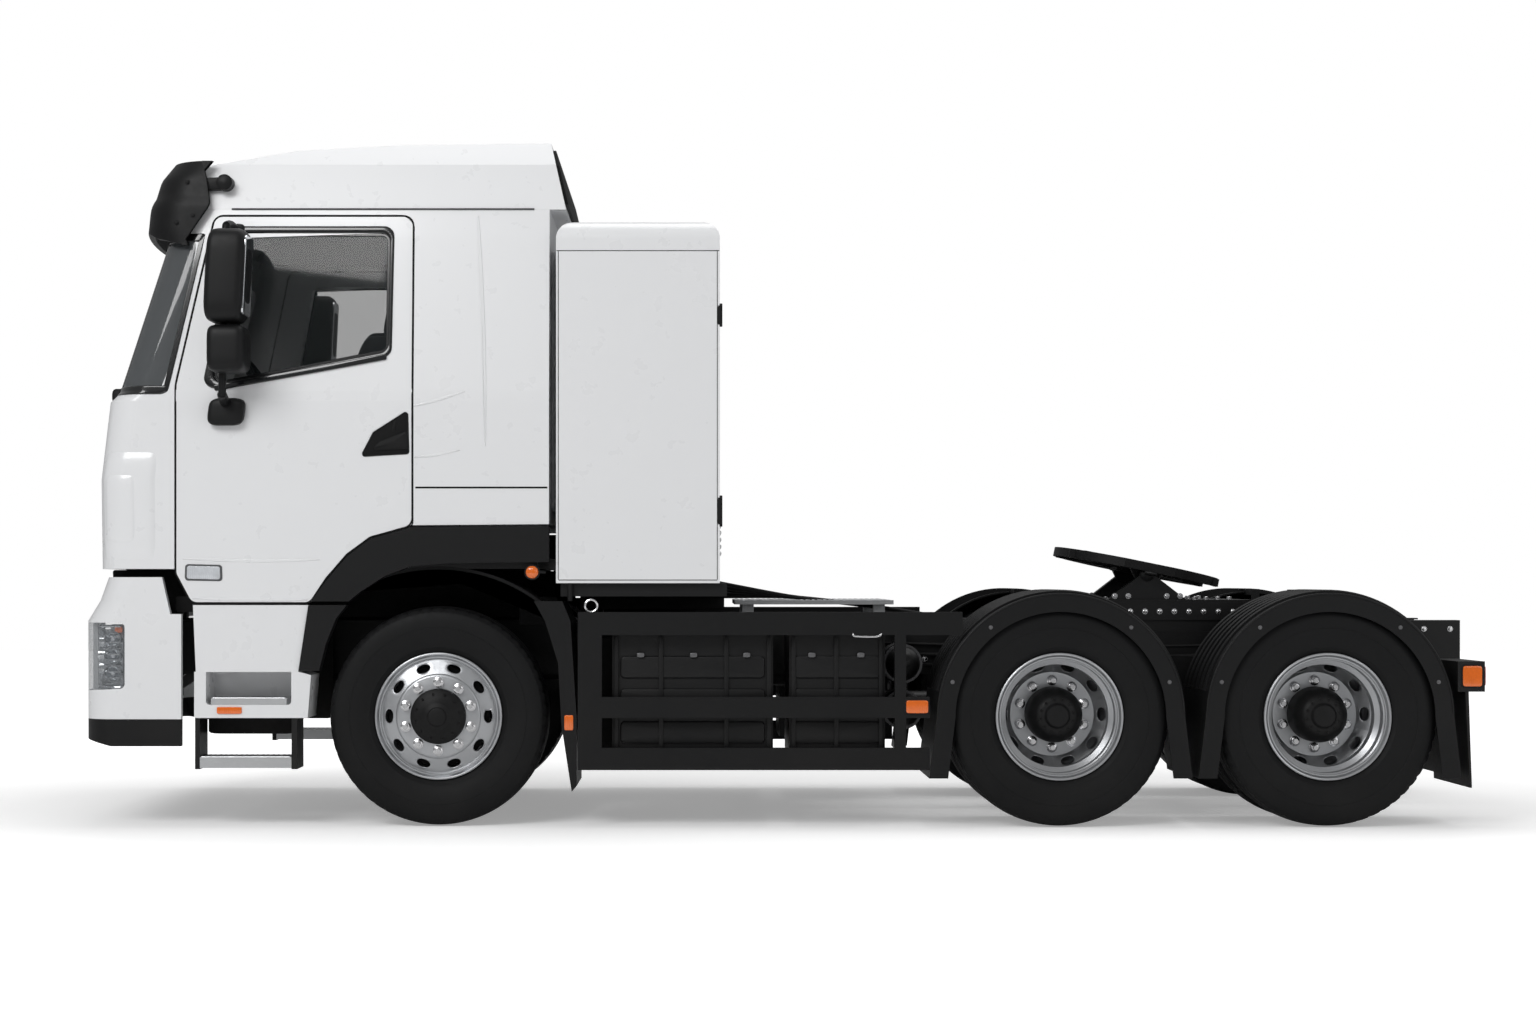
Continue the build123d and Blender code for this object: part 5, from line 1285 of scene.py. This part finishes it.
def build_chassis_trim():
    """Bolts, hoses, air tanks, brackets, handle and ring along the frame."""
    places = np.vstack([np.linspace((x0, y, z), (x1, y, z), count) for x0, x1, y, z, count in BOLT_ROWS])
    bolts = both_sides(repeated(hex_bolt(0.010, 0.012), places))
    piece("frame_bolts", bolts, "chassis", "aluminium", "bright_steel")
    hoses = joined([*map(front_hose, range(5)), both_sides(joined([*map(rail_hose, range(3))]))])
    piece("hoses", hoses, "chassis", "black_plastic", "soft_black")

    hanger = soft_box((0.560, 0.4305, 0.500), (0.608, 0.560, 0.900), 8, 10, 20)
    tanks = joined([*map(air_tank, TANK_HEIGHTS), hanger])
    piece("air_tanks", both_sides(tanks), "chassis", "black_paint", "chassis_black", 50)
    strap = ((0.088, -0.012), (0.0985, -0.012), (0.0985, 0.012), (0.088, 0.012))
    straps = [turned(strap, (TANK_X, y, z), 36) for z in TANK_HEIGHTS for y in (0.62, 0.90)]
    piece("tank_straps", both_sides(joined(straps)), "chassis", "aluminium", "dull_steel")

    pull = smooth_path([(0.316, 1.208, 0.965), (0.316, 1.236, 0.950), (0.330, 1.2385, 0.940),
                        (0.420, 1.2385, 0.938), (0.452, 1.236, 0.948), (0.454, 1.208, 0.965)], 8)
    handle = carried(pull + (0, 0.008, -0.006), circle_loop(0.0055, 10))
    loop = on_side(circle_loop(0.030, 28), 0) + (-0.960, 1.212, 1.082)
    ring = carried(loop, circle_loop(0.006, 8), (0, 1, 0), True)
    piece("tow_ring_and_handle", both_sides(joined([handle, ring])), "chassis", "aluminium", "bright_steel")

    ribs = [pillow_plate(rounded_rectangle((x0, z - 0.055), (x1, z + 0.055), 0.022), MODULE_Y - 0.004,
                         MODULE_Y + 0.011, 0.008, on_side)
            for x0, x1 in MODULE_SPANS for z in MODULE_RIB_HEIGHTS]
    ribs += [soft_box((x - 0.011, 1.128, 0.352), (x + 0.011, 1.150, 0.935), 8, 10, 16) for x in MODULE_POSTS]
    piece("module_ribs", both_sides(joined(ribs)), "chassis", "black_paint", "chassis_black")
    latch = soft_box((-0.018, 1.146, -0.012), (0.018, 1.158, 0.012), 4, 8, 16)
    latches = repeated(latch, [(x, 0, z) for x, z in LATCHES])
    piece("module_latches", both_sides(latches), "chassis", "aluminium", "dull_steel")


RIB_SECTION = np.array([(-0.016, -0.003), (-0.010, 0.0060), (0.010, 0.0060), (0.016, -0.003)])


def hub_arc(x, y, radius, degrees):
    """Points on an arc about a rear hub, at the angles given in degrees."""
    t = np.radians(degrees)
    return np.stack([x + radius * np.cos(t), np.full(len(t), y), HUB_Z + radius * np.sin(t)], axis=1)


def build_mudguard_trim():
    """Pressed ribs over each mudguard and the bright screws that hold them."""
    ribs, screws = [], []
    for x in DRIVE_X:
        ribs += [carried(hub_arc(x, y, 0.6055, np.linspace(12, 168, 44)), RIB_SECTION, (0, 1, 0))
                 for y in np.linspace(0.68, 1.19, 6)]
        lip = hub_arc(x, 1.2490, 0.600, np.linspace(2, 178, 60))
        ribs.append(carried(lip, circle_loop(0.0055, 8), (0, 1, 0)))
        screws.append(repeated(hex_bolt(0.007, 0.007), hub_arc(x, 1.2495, 0.555, (18, 52, 128, 162))))
    piece("mudguard_ribs", both_sides(joined(ribs)), "chassis", "black_plastic", "black_plastic")
    piece("mudguard_screws", both_sides(joined(screws)), "chassis", "aluminium", "dull_steel")


COUPLER_PIVOT = (1.898, 0.0, 1.236)
COUPLER_REST = math.radians(11.5)


def on_coupler(shape):
    """Turns a shape from the level plate to its rest tilt about the coupling's pivot, rear down."""
    points, faces = shape
    cosine, sine = math.cos(COUPLER_REST), math.sin(COUPLER_REST)
    x, y, z = points[:, 0], points[:, 1], points[:, 2]
    turned_points = np.stack([x * cosine + z * sine, y, -x * sine + z * cosine], axis=1)
    return turned_points + COUPLER_PIVOT, faces


GROOVE_SECTION = np.array([(-0.006, -0.002), (-0.006, 0.0022), (0.006, 0.0022), (0.006, -0.002)])
# Grease grooves: each radius with the angle that it spans.
GROOVE_ARCS = ((0.16, 1.15), (0.25, 1.30), (0.33, 1.38))
GROOVE_Z = 0.0605
COUPLER_CAP = ((0, 0.402), (0.018, 0.402), (0.024, 0.399), (0.034, 0.396), (0.0365, 0.3905),
               (0.0365, 0.386), (0, 0.386))
FOOT_BOLTS_X = (-0.40, -0.34, -0.28, -0.22, 0.24, 0.30, 0.36, 0.42)
SIDE_BOLTS_X = (-0.17, -0.10, 0.10, 0.17)


def grease_groove(radius, start, span):
    """A shallow groove on the plate: an arc about the pivot's middle."""
    t = np.linspace(start, start + span, 22)
    path = np.stack([radius * np.cos(t), radius * np.sin(t), np.full(22, GROOVE_Z)], axis=1)
    return carried(path, GROOVE_SECTION)


def build_coupler_trim():
    """Grease grooves, lock handle, pads, pivot caps and bolts of the coupling."""
    grooves = [grease_groove(radius, middle - span / 2, span) for radius, span in GROOVE_ARCS
               for middle in (np.pi / 2 + 0.3, -np.pi / 2 - 0.3)]
    piece("coupler_grooves", on_coupler(joined(grooves)), "coupler", "cast", "dull_steel")
    lever = carried(smooth_path([(0.02, -0.10, 0.02), (0.03, -0.22, 0.012), (0.02, -0.34, 0.008),
                                 (0.0, -0.455, 0.004)]), circle_loop(0.011, 12))
    eye = carried(on_top(circle_loop(0.026, 24), 0.004) + (0, -0.480, 0), circle_loop(0.008, 10), (0, 0, 1),
                  True)
    pads = [soft_box((-0.335, y - 0.06, 0.046), (-0.265, y + 0.06, 0.0645), 5, 10, 20)
            for y in (-0.245, 0.245)]
    piece("coupler_lever", on_coupler(joined([lever, eye] + pads)), "coupler", "cast", "cast_black")

    pivot_x, _, pivot_z = COUPLER_PIVOT
    cap = turned(COUPLER_CAP, (pivot_x, 0, pivot_z), 32)
    piece("coupler_caps", both_sides(cap), "chassis", "cast", "cast_black")
    side_bolts = repeated(hex_bolt(0.010, 0.013), [(pivot_x + dx, 0.391, 1.125) for dx in SIDE_BOLTS_X])
    points, faces = hex_bolt(0.012, 0.016)
    upright = points[:, [0, 2, 1]], faces[:, TURNED_ROUND]
    foot_bolts = repeated(upright, [(pivot_x + dx, 0.412, 1.1065) for dx in FOOT_BOLTS_X])
    bolts = both_sides(joined([side_bolts, foot_bolts]))
    piece("coupler_bolts", bolts, "chassis", "aluminium", "bright_steel")


SEAM_ROWS = (((-1.128, 2.810), (-0.334, 2.814), 0.0018), ((-1.118, 1.206), (-0.344, 1.210), 0.0018),
             ((-1.1208, 1.21), (-1.1172, 2.81), 0.0016), ((-0.3463, 1.21), (-0.3427, 2.81), 0.0016))
HINGE_SPANS = ((1.476, 1.612), (2.450, 2.547))


def build_cabinet_trim():
    """Seams, hinges and latches of the cabinet on both sides, and its rear louvres."""
    seams = [pillow_plate(rounded_rectangle(low, high, radius, 3), 1.236, 1.2408, 0.0005, on_side)
             for low, high, radius in SEAM_ROWS]
    piece("cabinet_seams", both_sides(joined(seams)), "chassis", "black_plastic", "dark_liner")
    hinges = [bar((-1.062, 1.226, 1.105), (-1.062, 1.226, 1.238), 0.013, 14)]
    for z0, z1 in HINGE_SPANS:
        hinges += [soft_box((-0.3435, 1.205, z0), (-0.322, 1.2440, z1), 7, 12, 24),
                   bar((-0.3270, 1.236, z0 - 0.008), (-0.3270, 1.236, z1 + 0.008), 0.0075, 12)]
    piece("cabinet_hinges", both_sides(joined(hinges)), "chassis", "black_plastic", "soft_black")
    louvres = [pillow_plate(rounded_rectangle((y - 0.24, z - 0.010), (y + 0.24, z + 0.010), 0.008), -0.336,
                            -0.322, 0.008, on_front)
               for z in np.linspace(1.34, 1.62, 9) for y in (-0.72, 0.72)]
    piece("cabinet_louvres", joined(louvres), "chassis", "white_paint", "white_paint")


SLAT_HEIGHTS = (1.44, 1.54, 1.64, 1.74, 1.84)
MESH_SECTION = np.array([(-0.010, -0.012), (0.010, -0.012), (0.010, 0.012), (-0.010, 0.012)])


def build_front_trim():
    """Grille slats and a plain panel on the front flap, and the bumper's lower bars and blank plate."""
    slats = []
    for z in SLAT_HEIGHTS:
        half = 0.86 + (z - 1.29) * 0.09
        loop = rounded_rectangle((-half, z - 0.030), (half, z + 0.030), 0.024, 6)
        slats.append(front_skin(dense(loop, 0.06), 0.0125, 0.004, 0.009))
    piece("flap_slats", joined(slats), "flap", "black_plastic", "black_plastic")
    loop = dense(rounded_rectangle((-0.60, 1.915), (0.60, 2.015), 0.03, 6), 0.06)
    piece("flap_panel", front_skin(loop, 0.010, 0.004, 0.006), "flap", "white_paint", "white_paint")

    y = np.linspace(-0.66, 0.66, 41)
    slots = [carried(at_height(np.column_stack([bumper_front(y) + 0.009, y]), z), MESH_SECTION)
             for z in np.linspace(0.585, 0.665, 3)]
    for post in (-0.62, -0.31, 0.0, 0.31, 0.62):
        x = bumper_front(post)
        slots.append(soft_box((x - 0.0015, post - 0.012, 0.575), (x + 0.012, post + 0.012, 0.675), 6, 8, 16))
    piece("bumper_slots", joined(slots), "chassis", "black_plastic", "dark_liner")
    loop = dense(rounded_rectangle((-0.26, 0.765), (0.26, 0.880), 0.010, 4), 0.05)
    plate = pillow_plate(loop, -0.006, 0.0012, 0.001, on_bumper)
    piece("blank_plate", plate, "chassis", "trim_grey", "trim_grey")


# Upright near-black plates that stand for the shade seen through gaps, painted shade: their (x, z) corners,
# corner radius, and y from and to.
SHADE_PLATES = (
    (((-2.60, 0.50), (-2.304, 0.50), (-2.304, 1.01), (-2.60, 1.01)), 0.03, 0.592, 0.600),
    (((-3.330, 1.06), (-3.345, 1.258), (-2.975, 1.258), (-2.975, 1.06)), 0.012, 0.990, 1.000),
    (((-1.330, 0.985), (-1.330, 1.125), (-1.140, 1.125), (-1.140, 0.985)), 0.012, 0.940, 0.948),
    (((-3.010, 1.050), (-3.010, 1.128), (-2.330, 1.128), (-2.330, 1.050)), 0.012, 1.095, 1.103),
    (((-0.960, 0.37), (-0.830, 0.37), (-0.830, 0.92), (-0.960, 0.92)), 0.012, 1.040, 1.050))


def build_arch_liners():
    """Dark liners over the front wheels: curved roofs and inner walls on the cab, and front walls."""
    t = np.linspace(np.radians(38), np.radians(122), 28)
    outer, inner = (np.stack([FRONT_X + along * np.cos(t), HUB_Z + up * np.sin(t)], axis=1)
                    for along, up in ((0.79, 0.735), (0.775, 0.720)))
    loop = np.vstack([outer, inner[::-1]])
    roof = tube_surface([on_side(loop, 0.56), on_side(loop, 1.18)])
    loop = rounded_rectangle((-2.45, 1.02), (-1.175, 1.258), 0.03)
    wall = pillow_plate(loop, 0.556, 0.564, 0.003, on_side)
    piece("arch_liners", both_sides(joined([roof, wall])), "cab", "black_plastic", "dark_liner")

    # Painted shade: near-black plates, an arm and blocks set behind see-through gaps on the chassis, where
    # only shade shows.
    plates = [pillow_plate(rounded_loop(corners, radius), y0, y1, 0.003, on_side)
              for corners, radius, y0, y1 in SHADE_PLATES]
    arm = soft_box((-2.50, 0.43, 0.76), (-2.44, 0.597, 0.80), 7, 8, 16)
    shade_blocks = [soft_box((-2.866, 0.985, 0.446), (-2.420, 1.028, 0.535), 9, 10, 20),
             soft_box((-1.018, 0.700, 1.058), (-0.305, 0.760, 1.1285), 9, 10, 20)]
    painted_shade_parts = both_sides(joined([*plates, arm, *shade_blocks]))
    piece("front_liners", painted_shade_parts, "chassis", "black_plastic", "dark_liner")


VISOR_HEIGHTS = (2.820, 2.919, 3.027, 3.175, 3.262)
VISOR_FRONTS = (-3.229, -3.255, -3.244, -3.200, -3.135)
VISOR_HALVES = (1.226, 1.226, 1.226, 1.216, 1.192)
VISOR_CORNERS = (0.200, 0.205, 0.210, 0.215, 0.220)
VISOR_BULGE = 0.150
VISOR_TOP = 3.258
VISOR_LIP = 0.008
VISOR_LOW_X = (-3.320, -3.150, -3.096, -2.952)
VISOR_LOW_Z = (2.935, 2.919, 2.880, 2.841)
VISOR_REAR_Z = (2.841, 2.920, 3.042, 3.175, 3.258)
VISOR_REAR_X = (-2.952, -2.903, -2.819, -2.839, -2.863)
VISOR_BOSS = (-2.750, 3.150)


def visor_sheet(inset):
    """The visor's form as heights by places along its plan: down the left side, round the front on the
    cab's curved plan and back. Its lower edge follows the side's outline, its lower half stands out."""
    turn = np.linspace(-np.pi / 2, np.pi / 2, 61)
    back = np.linspace(1, 0, 7)[:-1]
    reach = np.concatenate([back, np.zeros(61), back[::-1]])
    swing = np.concatenate([np.full(6, turn[0]), turn, np.full(6, turn[-1])])

    def plan(z):
        half, front, corner = (np.interp(z, VISOR_HEIGHTS, values) for values in
                               (VISOR_HALVES, VISOR_FRONTS, VISOR_CORNERS))
        out = VISOR_LIP * np.clip((3.078 - z) / 0.014, 0, 1) - inset
        y = (half + out) * np.sin(swing)
        x = curved_front(y, half + out, front - out, corner + out, VISOR_BULGE)
        return x + (np.interp(z, VISOR_REAR_Z, VISOR_REAR_X) - x) * reach, y
    first, _ = plan(np.full((1, len(swing)), 2.93))
    low = np.interp(first, VISOR_LOW_X, VISOR_LOW_Z)
    z = low + (VISOR_TOP - low) * np.linspace(0, 1, 19)[:, None]
    x, y = plan(z)
    return np.stack([x, y, z], axis=-1)


def build_visor_trim():
    """The sun visor as a shell round the roof's front corners, with its arms, bosses and screws."""
    outer, inner = visor_sheet(0.0), visor_sheet(0.028)
    shell = tube_surface(np.swapaxes(np.concatenate([outer, inner[::-1]]), 0, 1))
    boss_x, boss_z = VISOR_BOSS
    arm_loop = rounded_loop([(-2.930, 3.108), (-2.930, 3.170), (boss_x, boss_z + 0.030),
                             (boss_x, boss_z - 0.030)], 0.012)
    arm = pillow_plate(arm_loop, 1.120, 1.196, 0.006, on_side)
    boss = turned(((0, 1.2240), (0.014, 1.2240), (0.020, 1.2215), (0.033, 1.2205), (0.0385, 1.2170),
                   (0.0385, 1.1200), (0, 1.1200)), (boss_x, 0, boss_z), 32)
    piece("visor_shell", joined([shell, both_sides(joined([arm, boss]))]), "cab", "black_plastic",
          "black_plastic", 40, ("sun_visor",))
    places = [(-2.90, 1.2335, 2.985), (-2.98, 1.2335, 2.95), (-2.93, 1.2170, 3.150)]
    screws = both_sides(repeated(hex_bolt(0.008, 0.006), places))
    piece("visor_screws", screws, "cab", "black_plastic", "soft_black")


# ------------------------------------------------------------ the add-on part


class TractorFinishSettings(bpy.types.PropertyGroup):
    """Colours of the paint."""
    body_colour: bpy.props.FloatVectorProperty(name="Body colour",
                                               description="Paint of the cab and the cabinet",
                                               default=(0.765, 0.772, 0.783), min=0.0, max=1.0,
                                               subtype="COLOR")
    chassis_colour: bpy.props.FloatVectorProperty(name="Chassis colour", description="Paint of the frame",
                                                  default=(0.0050, 0.0052, 0.0056), min=0.0, max=1.0,
                                                  subtype="COLOR")


class TractorWheelSettings(bpy.types.PropertyGroup):
    """Numbers for the wheels."""
    nut_count: bpy.props.IntProperty(name="Wheel nuts", description="Nuts on each wheel", default=10, min=6,
                                     max=12)


class TractorSeatSettings(bpy.types.PropertyGroup):
    """Numbers for the seats."""
    seat_fill: bpy.props.FloatProperty(name="Seat fill", description="How full the seat pads are stuffed",
                                       default=0.8, min=0.0, max=1.0, subtype="FACTOR")


class TractorStageSettings(bpy.types.PropertyGroup):
    """Numbers for the camera, the light and the floor."""
    camera_x: bpy.props.FloatProperty(name="Camera along", description="Camera place along the vehicle",
                                      default=-0.429, unit="LENGTH")
    camera_away: bpy.props.FloatProperty(name="Camera away", description="Camera distance from the middle",
                                         default=13.74, min=1.0, unit="LENGTH")
    camera_height: bpy.props.FloatProperty(name="Camera height", description="Camera height over the ground",
                                           default=1.208, unit="LENGTH")
    focal_length: bpy.props.FloatProperty(name="Focal length", description="Lens length in millimetres",
                                          default=60.16, min=10.0, unit="CAMERA")
    shift_x: bpy.props.FloatProperty(name="Shift across", description="Lens shift across", default=0.0443)
    shift_y: bpy.props.FloatProperty(name="Shift up", description="Lens shift up", default=0.0443)
    key_strength: bpy.props.FloatProperty(name="Key light", description="Power of the main soft light",
                                          default=520.0, min=0.0, unit="POWER")
    sky_strength: bpy.props.FloatProperty(name="Sky light", description="Strength of the even white light",
                                          default=0.42, min=0.0)


def area_light(name, location, aim, size, power):
    """A soft rectangular light pointed at a place."""
    data = bpy.data.lights.new(name, "AREA")
    data.shape = "RECTANGLE"
    data.size, data.size_y = size
    data.energy = power
    light = bpy.data.objects.new(name, data)
    light.location = location
    light.rotation_euler = (Vector(aim) - Vector(location)).to_track_quat("-Z", "Y").to_euler()
    bpy.context.scene.collection.objects.link(light)


def build_world(sky_strength):
    """A world that the camera sees as plain white, and that lights as a room, darker low down."""
    world = bpy.data.worlds.new("studio")
    bpy.context.scene.world = world
    world.use_nodes = True
    tree = world.node_tree
    background = tree.nodes["Background"]
    seen = tree.nodes.new("ShaderNodeLightPath").outputs["Is Camera Ray"]
    coordinates = tree.nodes.new("ShaderNodeTexCoord")
    parts = tree.nodes.new("ShaderNodeSeparateXYZ")
    tree.links.new(coordinates.outputs["Generated"], parts.inputs[0])
    height = span_node(tree, parts.outputs["Z"], -0.10, 0.55)
    room = mix_colour(tree, height, (0.36, 0.365, 0.375, 1), (1.0, 1.0, 1.0, 1))
    tree.links.new(mix_colour(tree, seen, room, (1, 1, 1, 1)), background.inputs["Color"])
    tree.links.new(span_node(tree, seen, 0.0, 1.0, sky_strength, 1.0), background.inputs["Strength"])


def floor_material():
    """A white floor that catches shadows near the vehicle. Seen by the camera it glows, more with the
    distance, so that it meets the white world with no edge."""
    tree, shader, where = mottled("floor_white", (0.93, 0.93, 0.93), 0.004, 0.4, 0.7, 0.05)
    tree.links.remove(shader.inputs["Roughness"].links[0])
    set_inputs(shader, Roughness=0.7, Specular_IOR_Level=0.15)
    spread = tree.nodes.new("ShaderNodeMapping")
    spread.inputs["Scale"].default_value = (1 / 5.4, 1 / 3.4, 0.0)
    tree.links.new(where, spread.inputs["Vector"])
    away = tree.nodes.new("ShaderNodeVectorMath")
    away.operation = "LENGTH"
    tree.links.new(spread.outputs["Vector"], away.inputs[0])
    lift = span_node(tree, away.outputs["Value"], 0.75, 1.7, 0.30, 0.80)
    seen = tree.nodes.new("ShaderNodeLightPath").outputs["Is Camera Ray"]
    glow = tree.nodes.new("ShaderNodeEmission")
    glow.inputs["Color"].default_value = (1, 1, 1, 1)
    tree.links.new(math_node(tree, "MULTIPLY", seen, lift), glow.inputs["Strength"])
    add = tree.nodes.new("ShaderNodeAddShader")
    tree.links.new(shader.outputs["BSDF"], add.inputs[0])
    tree.links.new(glow.outputs["Emission"], add.inputs[1])
    tree.links.new(add.outputs["Shader"], tree.nodes["Material Output"].inputs["Surface"])


def build_camera(settings):
    """The level camera at the vehicle's left side."""
    data = bpy.data.cameras.new("camera")
    data.sensor_width = 36.0
    data.lens = settings.focal_length
    data.shift_x, data.shift_y = settings.shift_x, settings.shift_y
    data.clip_end = 200.0
    camera = bpy.data.objects.new("camera", data)
    camera.location = (settings.camera_x, -settings.camera_away, settings.camera_height)
    camera.rotation_euler = (math.radians(90), 0, 0)
    bpy.context.scene.collection.objects.link(camera)
    bpy.context.scene.camera = camera


def build_stage(settings):
    """A white floor and world, soft lights and the camera."""
    view = bpy.context.scene.view_settings
    view.view_transform = "Standard"
    view.look = "None"
    view.exposure = 0.0
    view.gamma = 1.0
    build_world(settings.sky_strength)

    sheet = pillow_plate(rounded_rectangle((-30, -16), (30, 30), 4.0, 8), -0.06, -0.0006, 0.01, on_top)
    floor = bpy.data.objects.new("floor", new_mesh("floor", sheet))
    bpy.context.scene.collection.objects.link(floor)
    floor_material()
    floor.data.materials.append(MATERIALS["floor_white"])

    middle = (0.0, 0.0, 1.4)
    area_light("key", (-5.5, -9.5, 7.0), middle, (6.0, 3.6), settings.key_strength)
    area_light("top", (0.5, 0.5, 9.5), (0.5, 0.0, 0.0), (9.0, 5.0), settings.key_strength * 0.62)
    area_light("side", (7.5, -8.0, 3.6), (1.5, 0.0, 0.9), (4.0, 5.0), settings.key_strength * 0.20)
    build_camera(settings)


def finish_nodes(settings):
    """Gives every CAD node its finish."""
    build_groups()
    build_materials(settings)
    for name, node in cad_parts.items():
        node.data.materials.clear()
        node.data.materials.append(MATERIALS[node_finish(name)])


class StepOperator:
    """What every step shares: it calls its own builder, with its own numbers where it has some."""
    bl_options = {"REGISTER", "UNDO"}
    group = None
    build = None

    def execute(self, context):
        settings = [getattr(context.scene, self.group)] if self.group else []
        type(self).build(*settings)
        return {"FINISHED"}


def step(name, label, text, builder, group=None):
    """Makes one operator class for a builder."""
    members = {"bl_idname": "tractor." + name, "bl_label": label, "__doc__": text, "group": group,
               "build": staticmethod(builder)}
    return type("TRACTOR_OT_" + name, (StepOperator, bpy.types.Operator), members)


STEPS = (
    step("finishes", "Finishes", "Gives every CAD part its material", finish_nodes,
         "tractor_finishes"),
    step("wheels", "Wheels", "Makes the tyres, wheels, caps and nuts", build_wheels, "tractor_wheels"),
    step("mirrors", "Mirrors", "Makes the door mirrors", build_mirrors),
    step("seats", "Seats", "Makes the stuffed seats", build_seats, "tractor_seats"),
    step("door_trim", "Door trim", "Makes the window surrounds, handles and lines", build_door_trim),
    step("cab_trim", "Cab trim", "Makes the screen surround, wipers and corners", build_cab_trim),
    step("rear_quarter", "Rear quarter", "Makes the creases behind the doors", build_rear_quarter),
    step("headlamps", "Headlamps", "Makes the lamp bowls and reflectors", build_headlamps),
    step("marker_lamps", "Marker lamps", "Makes the markers and rear lamps", build_marker_lamps),
    step("treads", "Treads", "Makes the chequer bars", build_treads),
    step("chassis_trim", "Chassis trim", "Makes the bolts, hoses and tanks", build_chassis_trim),
    step("mudguard_trim", "Mudguard trim", "Makes the ribs and screws", build_mudguard_trim),
    step("coupler_trim", "Coupler trim", "Makes the coupling's small parts", build_coupler_trim),
    step("cabinet_trim", "Cabinet trim", "Makes the cabinet's seams and hinges", build_cabinet_trim),
    step("front_trim", "Front trim", "Makes the slats, panel, slots and plate", build_front_trim),
    # This step also makes the near-black plates, arm and blocks behind gaps on the chassis, which stand for
    # the shade seen through them: painted shade.
    step("arch_liners", "Arch liners", "Makes the dark liners over the wheels", build_arch_liners),
    step("visor_trim", "Visor trim", "Makes the sun visor and its screws", build_visor_trim),
    step("stage", "Stage", "Makes the floor, lights and camera", build_stage, "tractor_stage"),
)


class TRACTOR_PT_panel(bpy.types.Panel):
    """The sidebar panel with the numbers and the steps."""
    bl_label = "Tractor Unit"
    bl_idname = "TRACTOR_PT_panel"
    bl_space_type = "VIEW_3D"
    bl_region_type = "UI"
    bl_category = "Tractor Unit"

    def draw(self, context):
        layout = self.layout
        for group in GROUP_TYPES:
            settings = getattr(context.scene, group)
            for label in settings.bl_rna.properties.keys():
                if label not in ("rna_type", "name"):
                    layout.prop(settings, label)
        for made in STEPS:
            layout.operator(made.bl_idname)


GROUP_TYPES = {"tractor_finishes": TractorFinishSettings, "tractor_wheels": TractorWheelSettings,
               "tractor_seats": TractorSeatSettings, "tractor_stage": TractorStageSettings}


def register():
    """Registers the property groups, the operators and the panel."""
    for name, group in GROUP_TYPES.items():
        bpy.utils.register_class(group)
        setattr(bpy.types.Scene, name, bpy.props.PointerProperty(type=group))
    for made in (*STEPS, TRACTOR_PT_panel):
        bpy.utils.register_class(made)


def unregister():
    """Takes them all away again."""
    for made in (TRACTOR_PT_panel, *reversed(STEPS)):
        bpy.utils.unregister_class(made)
    for name, group in GROUP_TYPES.items():
        delattr(bpy.types.Scene, name)
        bpy.utils.unregister_class(group)


def main():
    """Runs the steps in order and writes both boxes."""
    register()
    for made in STEPS:
        name = made.bl_idname.split(".")[1]
        if getattr(bpy.ops.tractor, name)() != {"FINISHED"}:
            raise RuntimeError(f"step {name} did not finish")


if __name__ == "__main__":
    main()
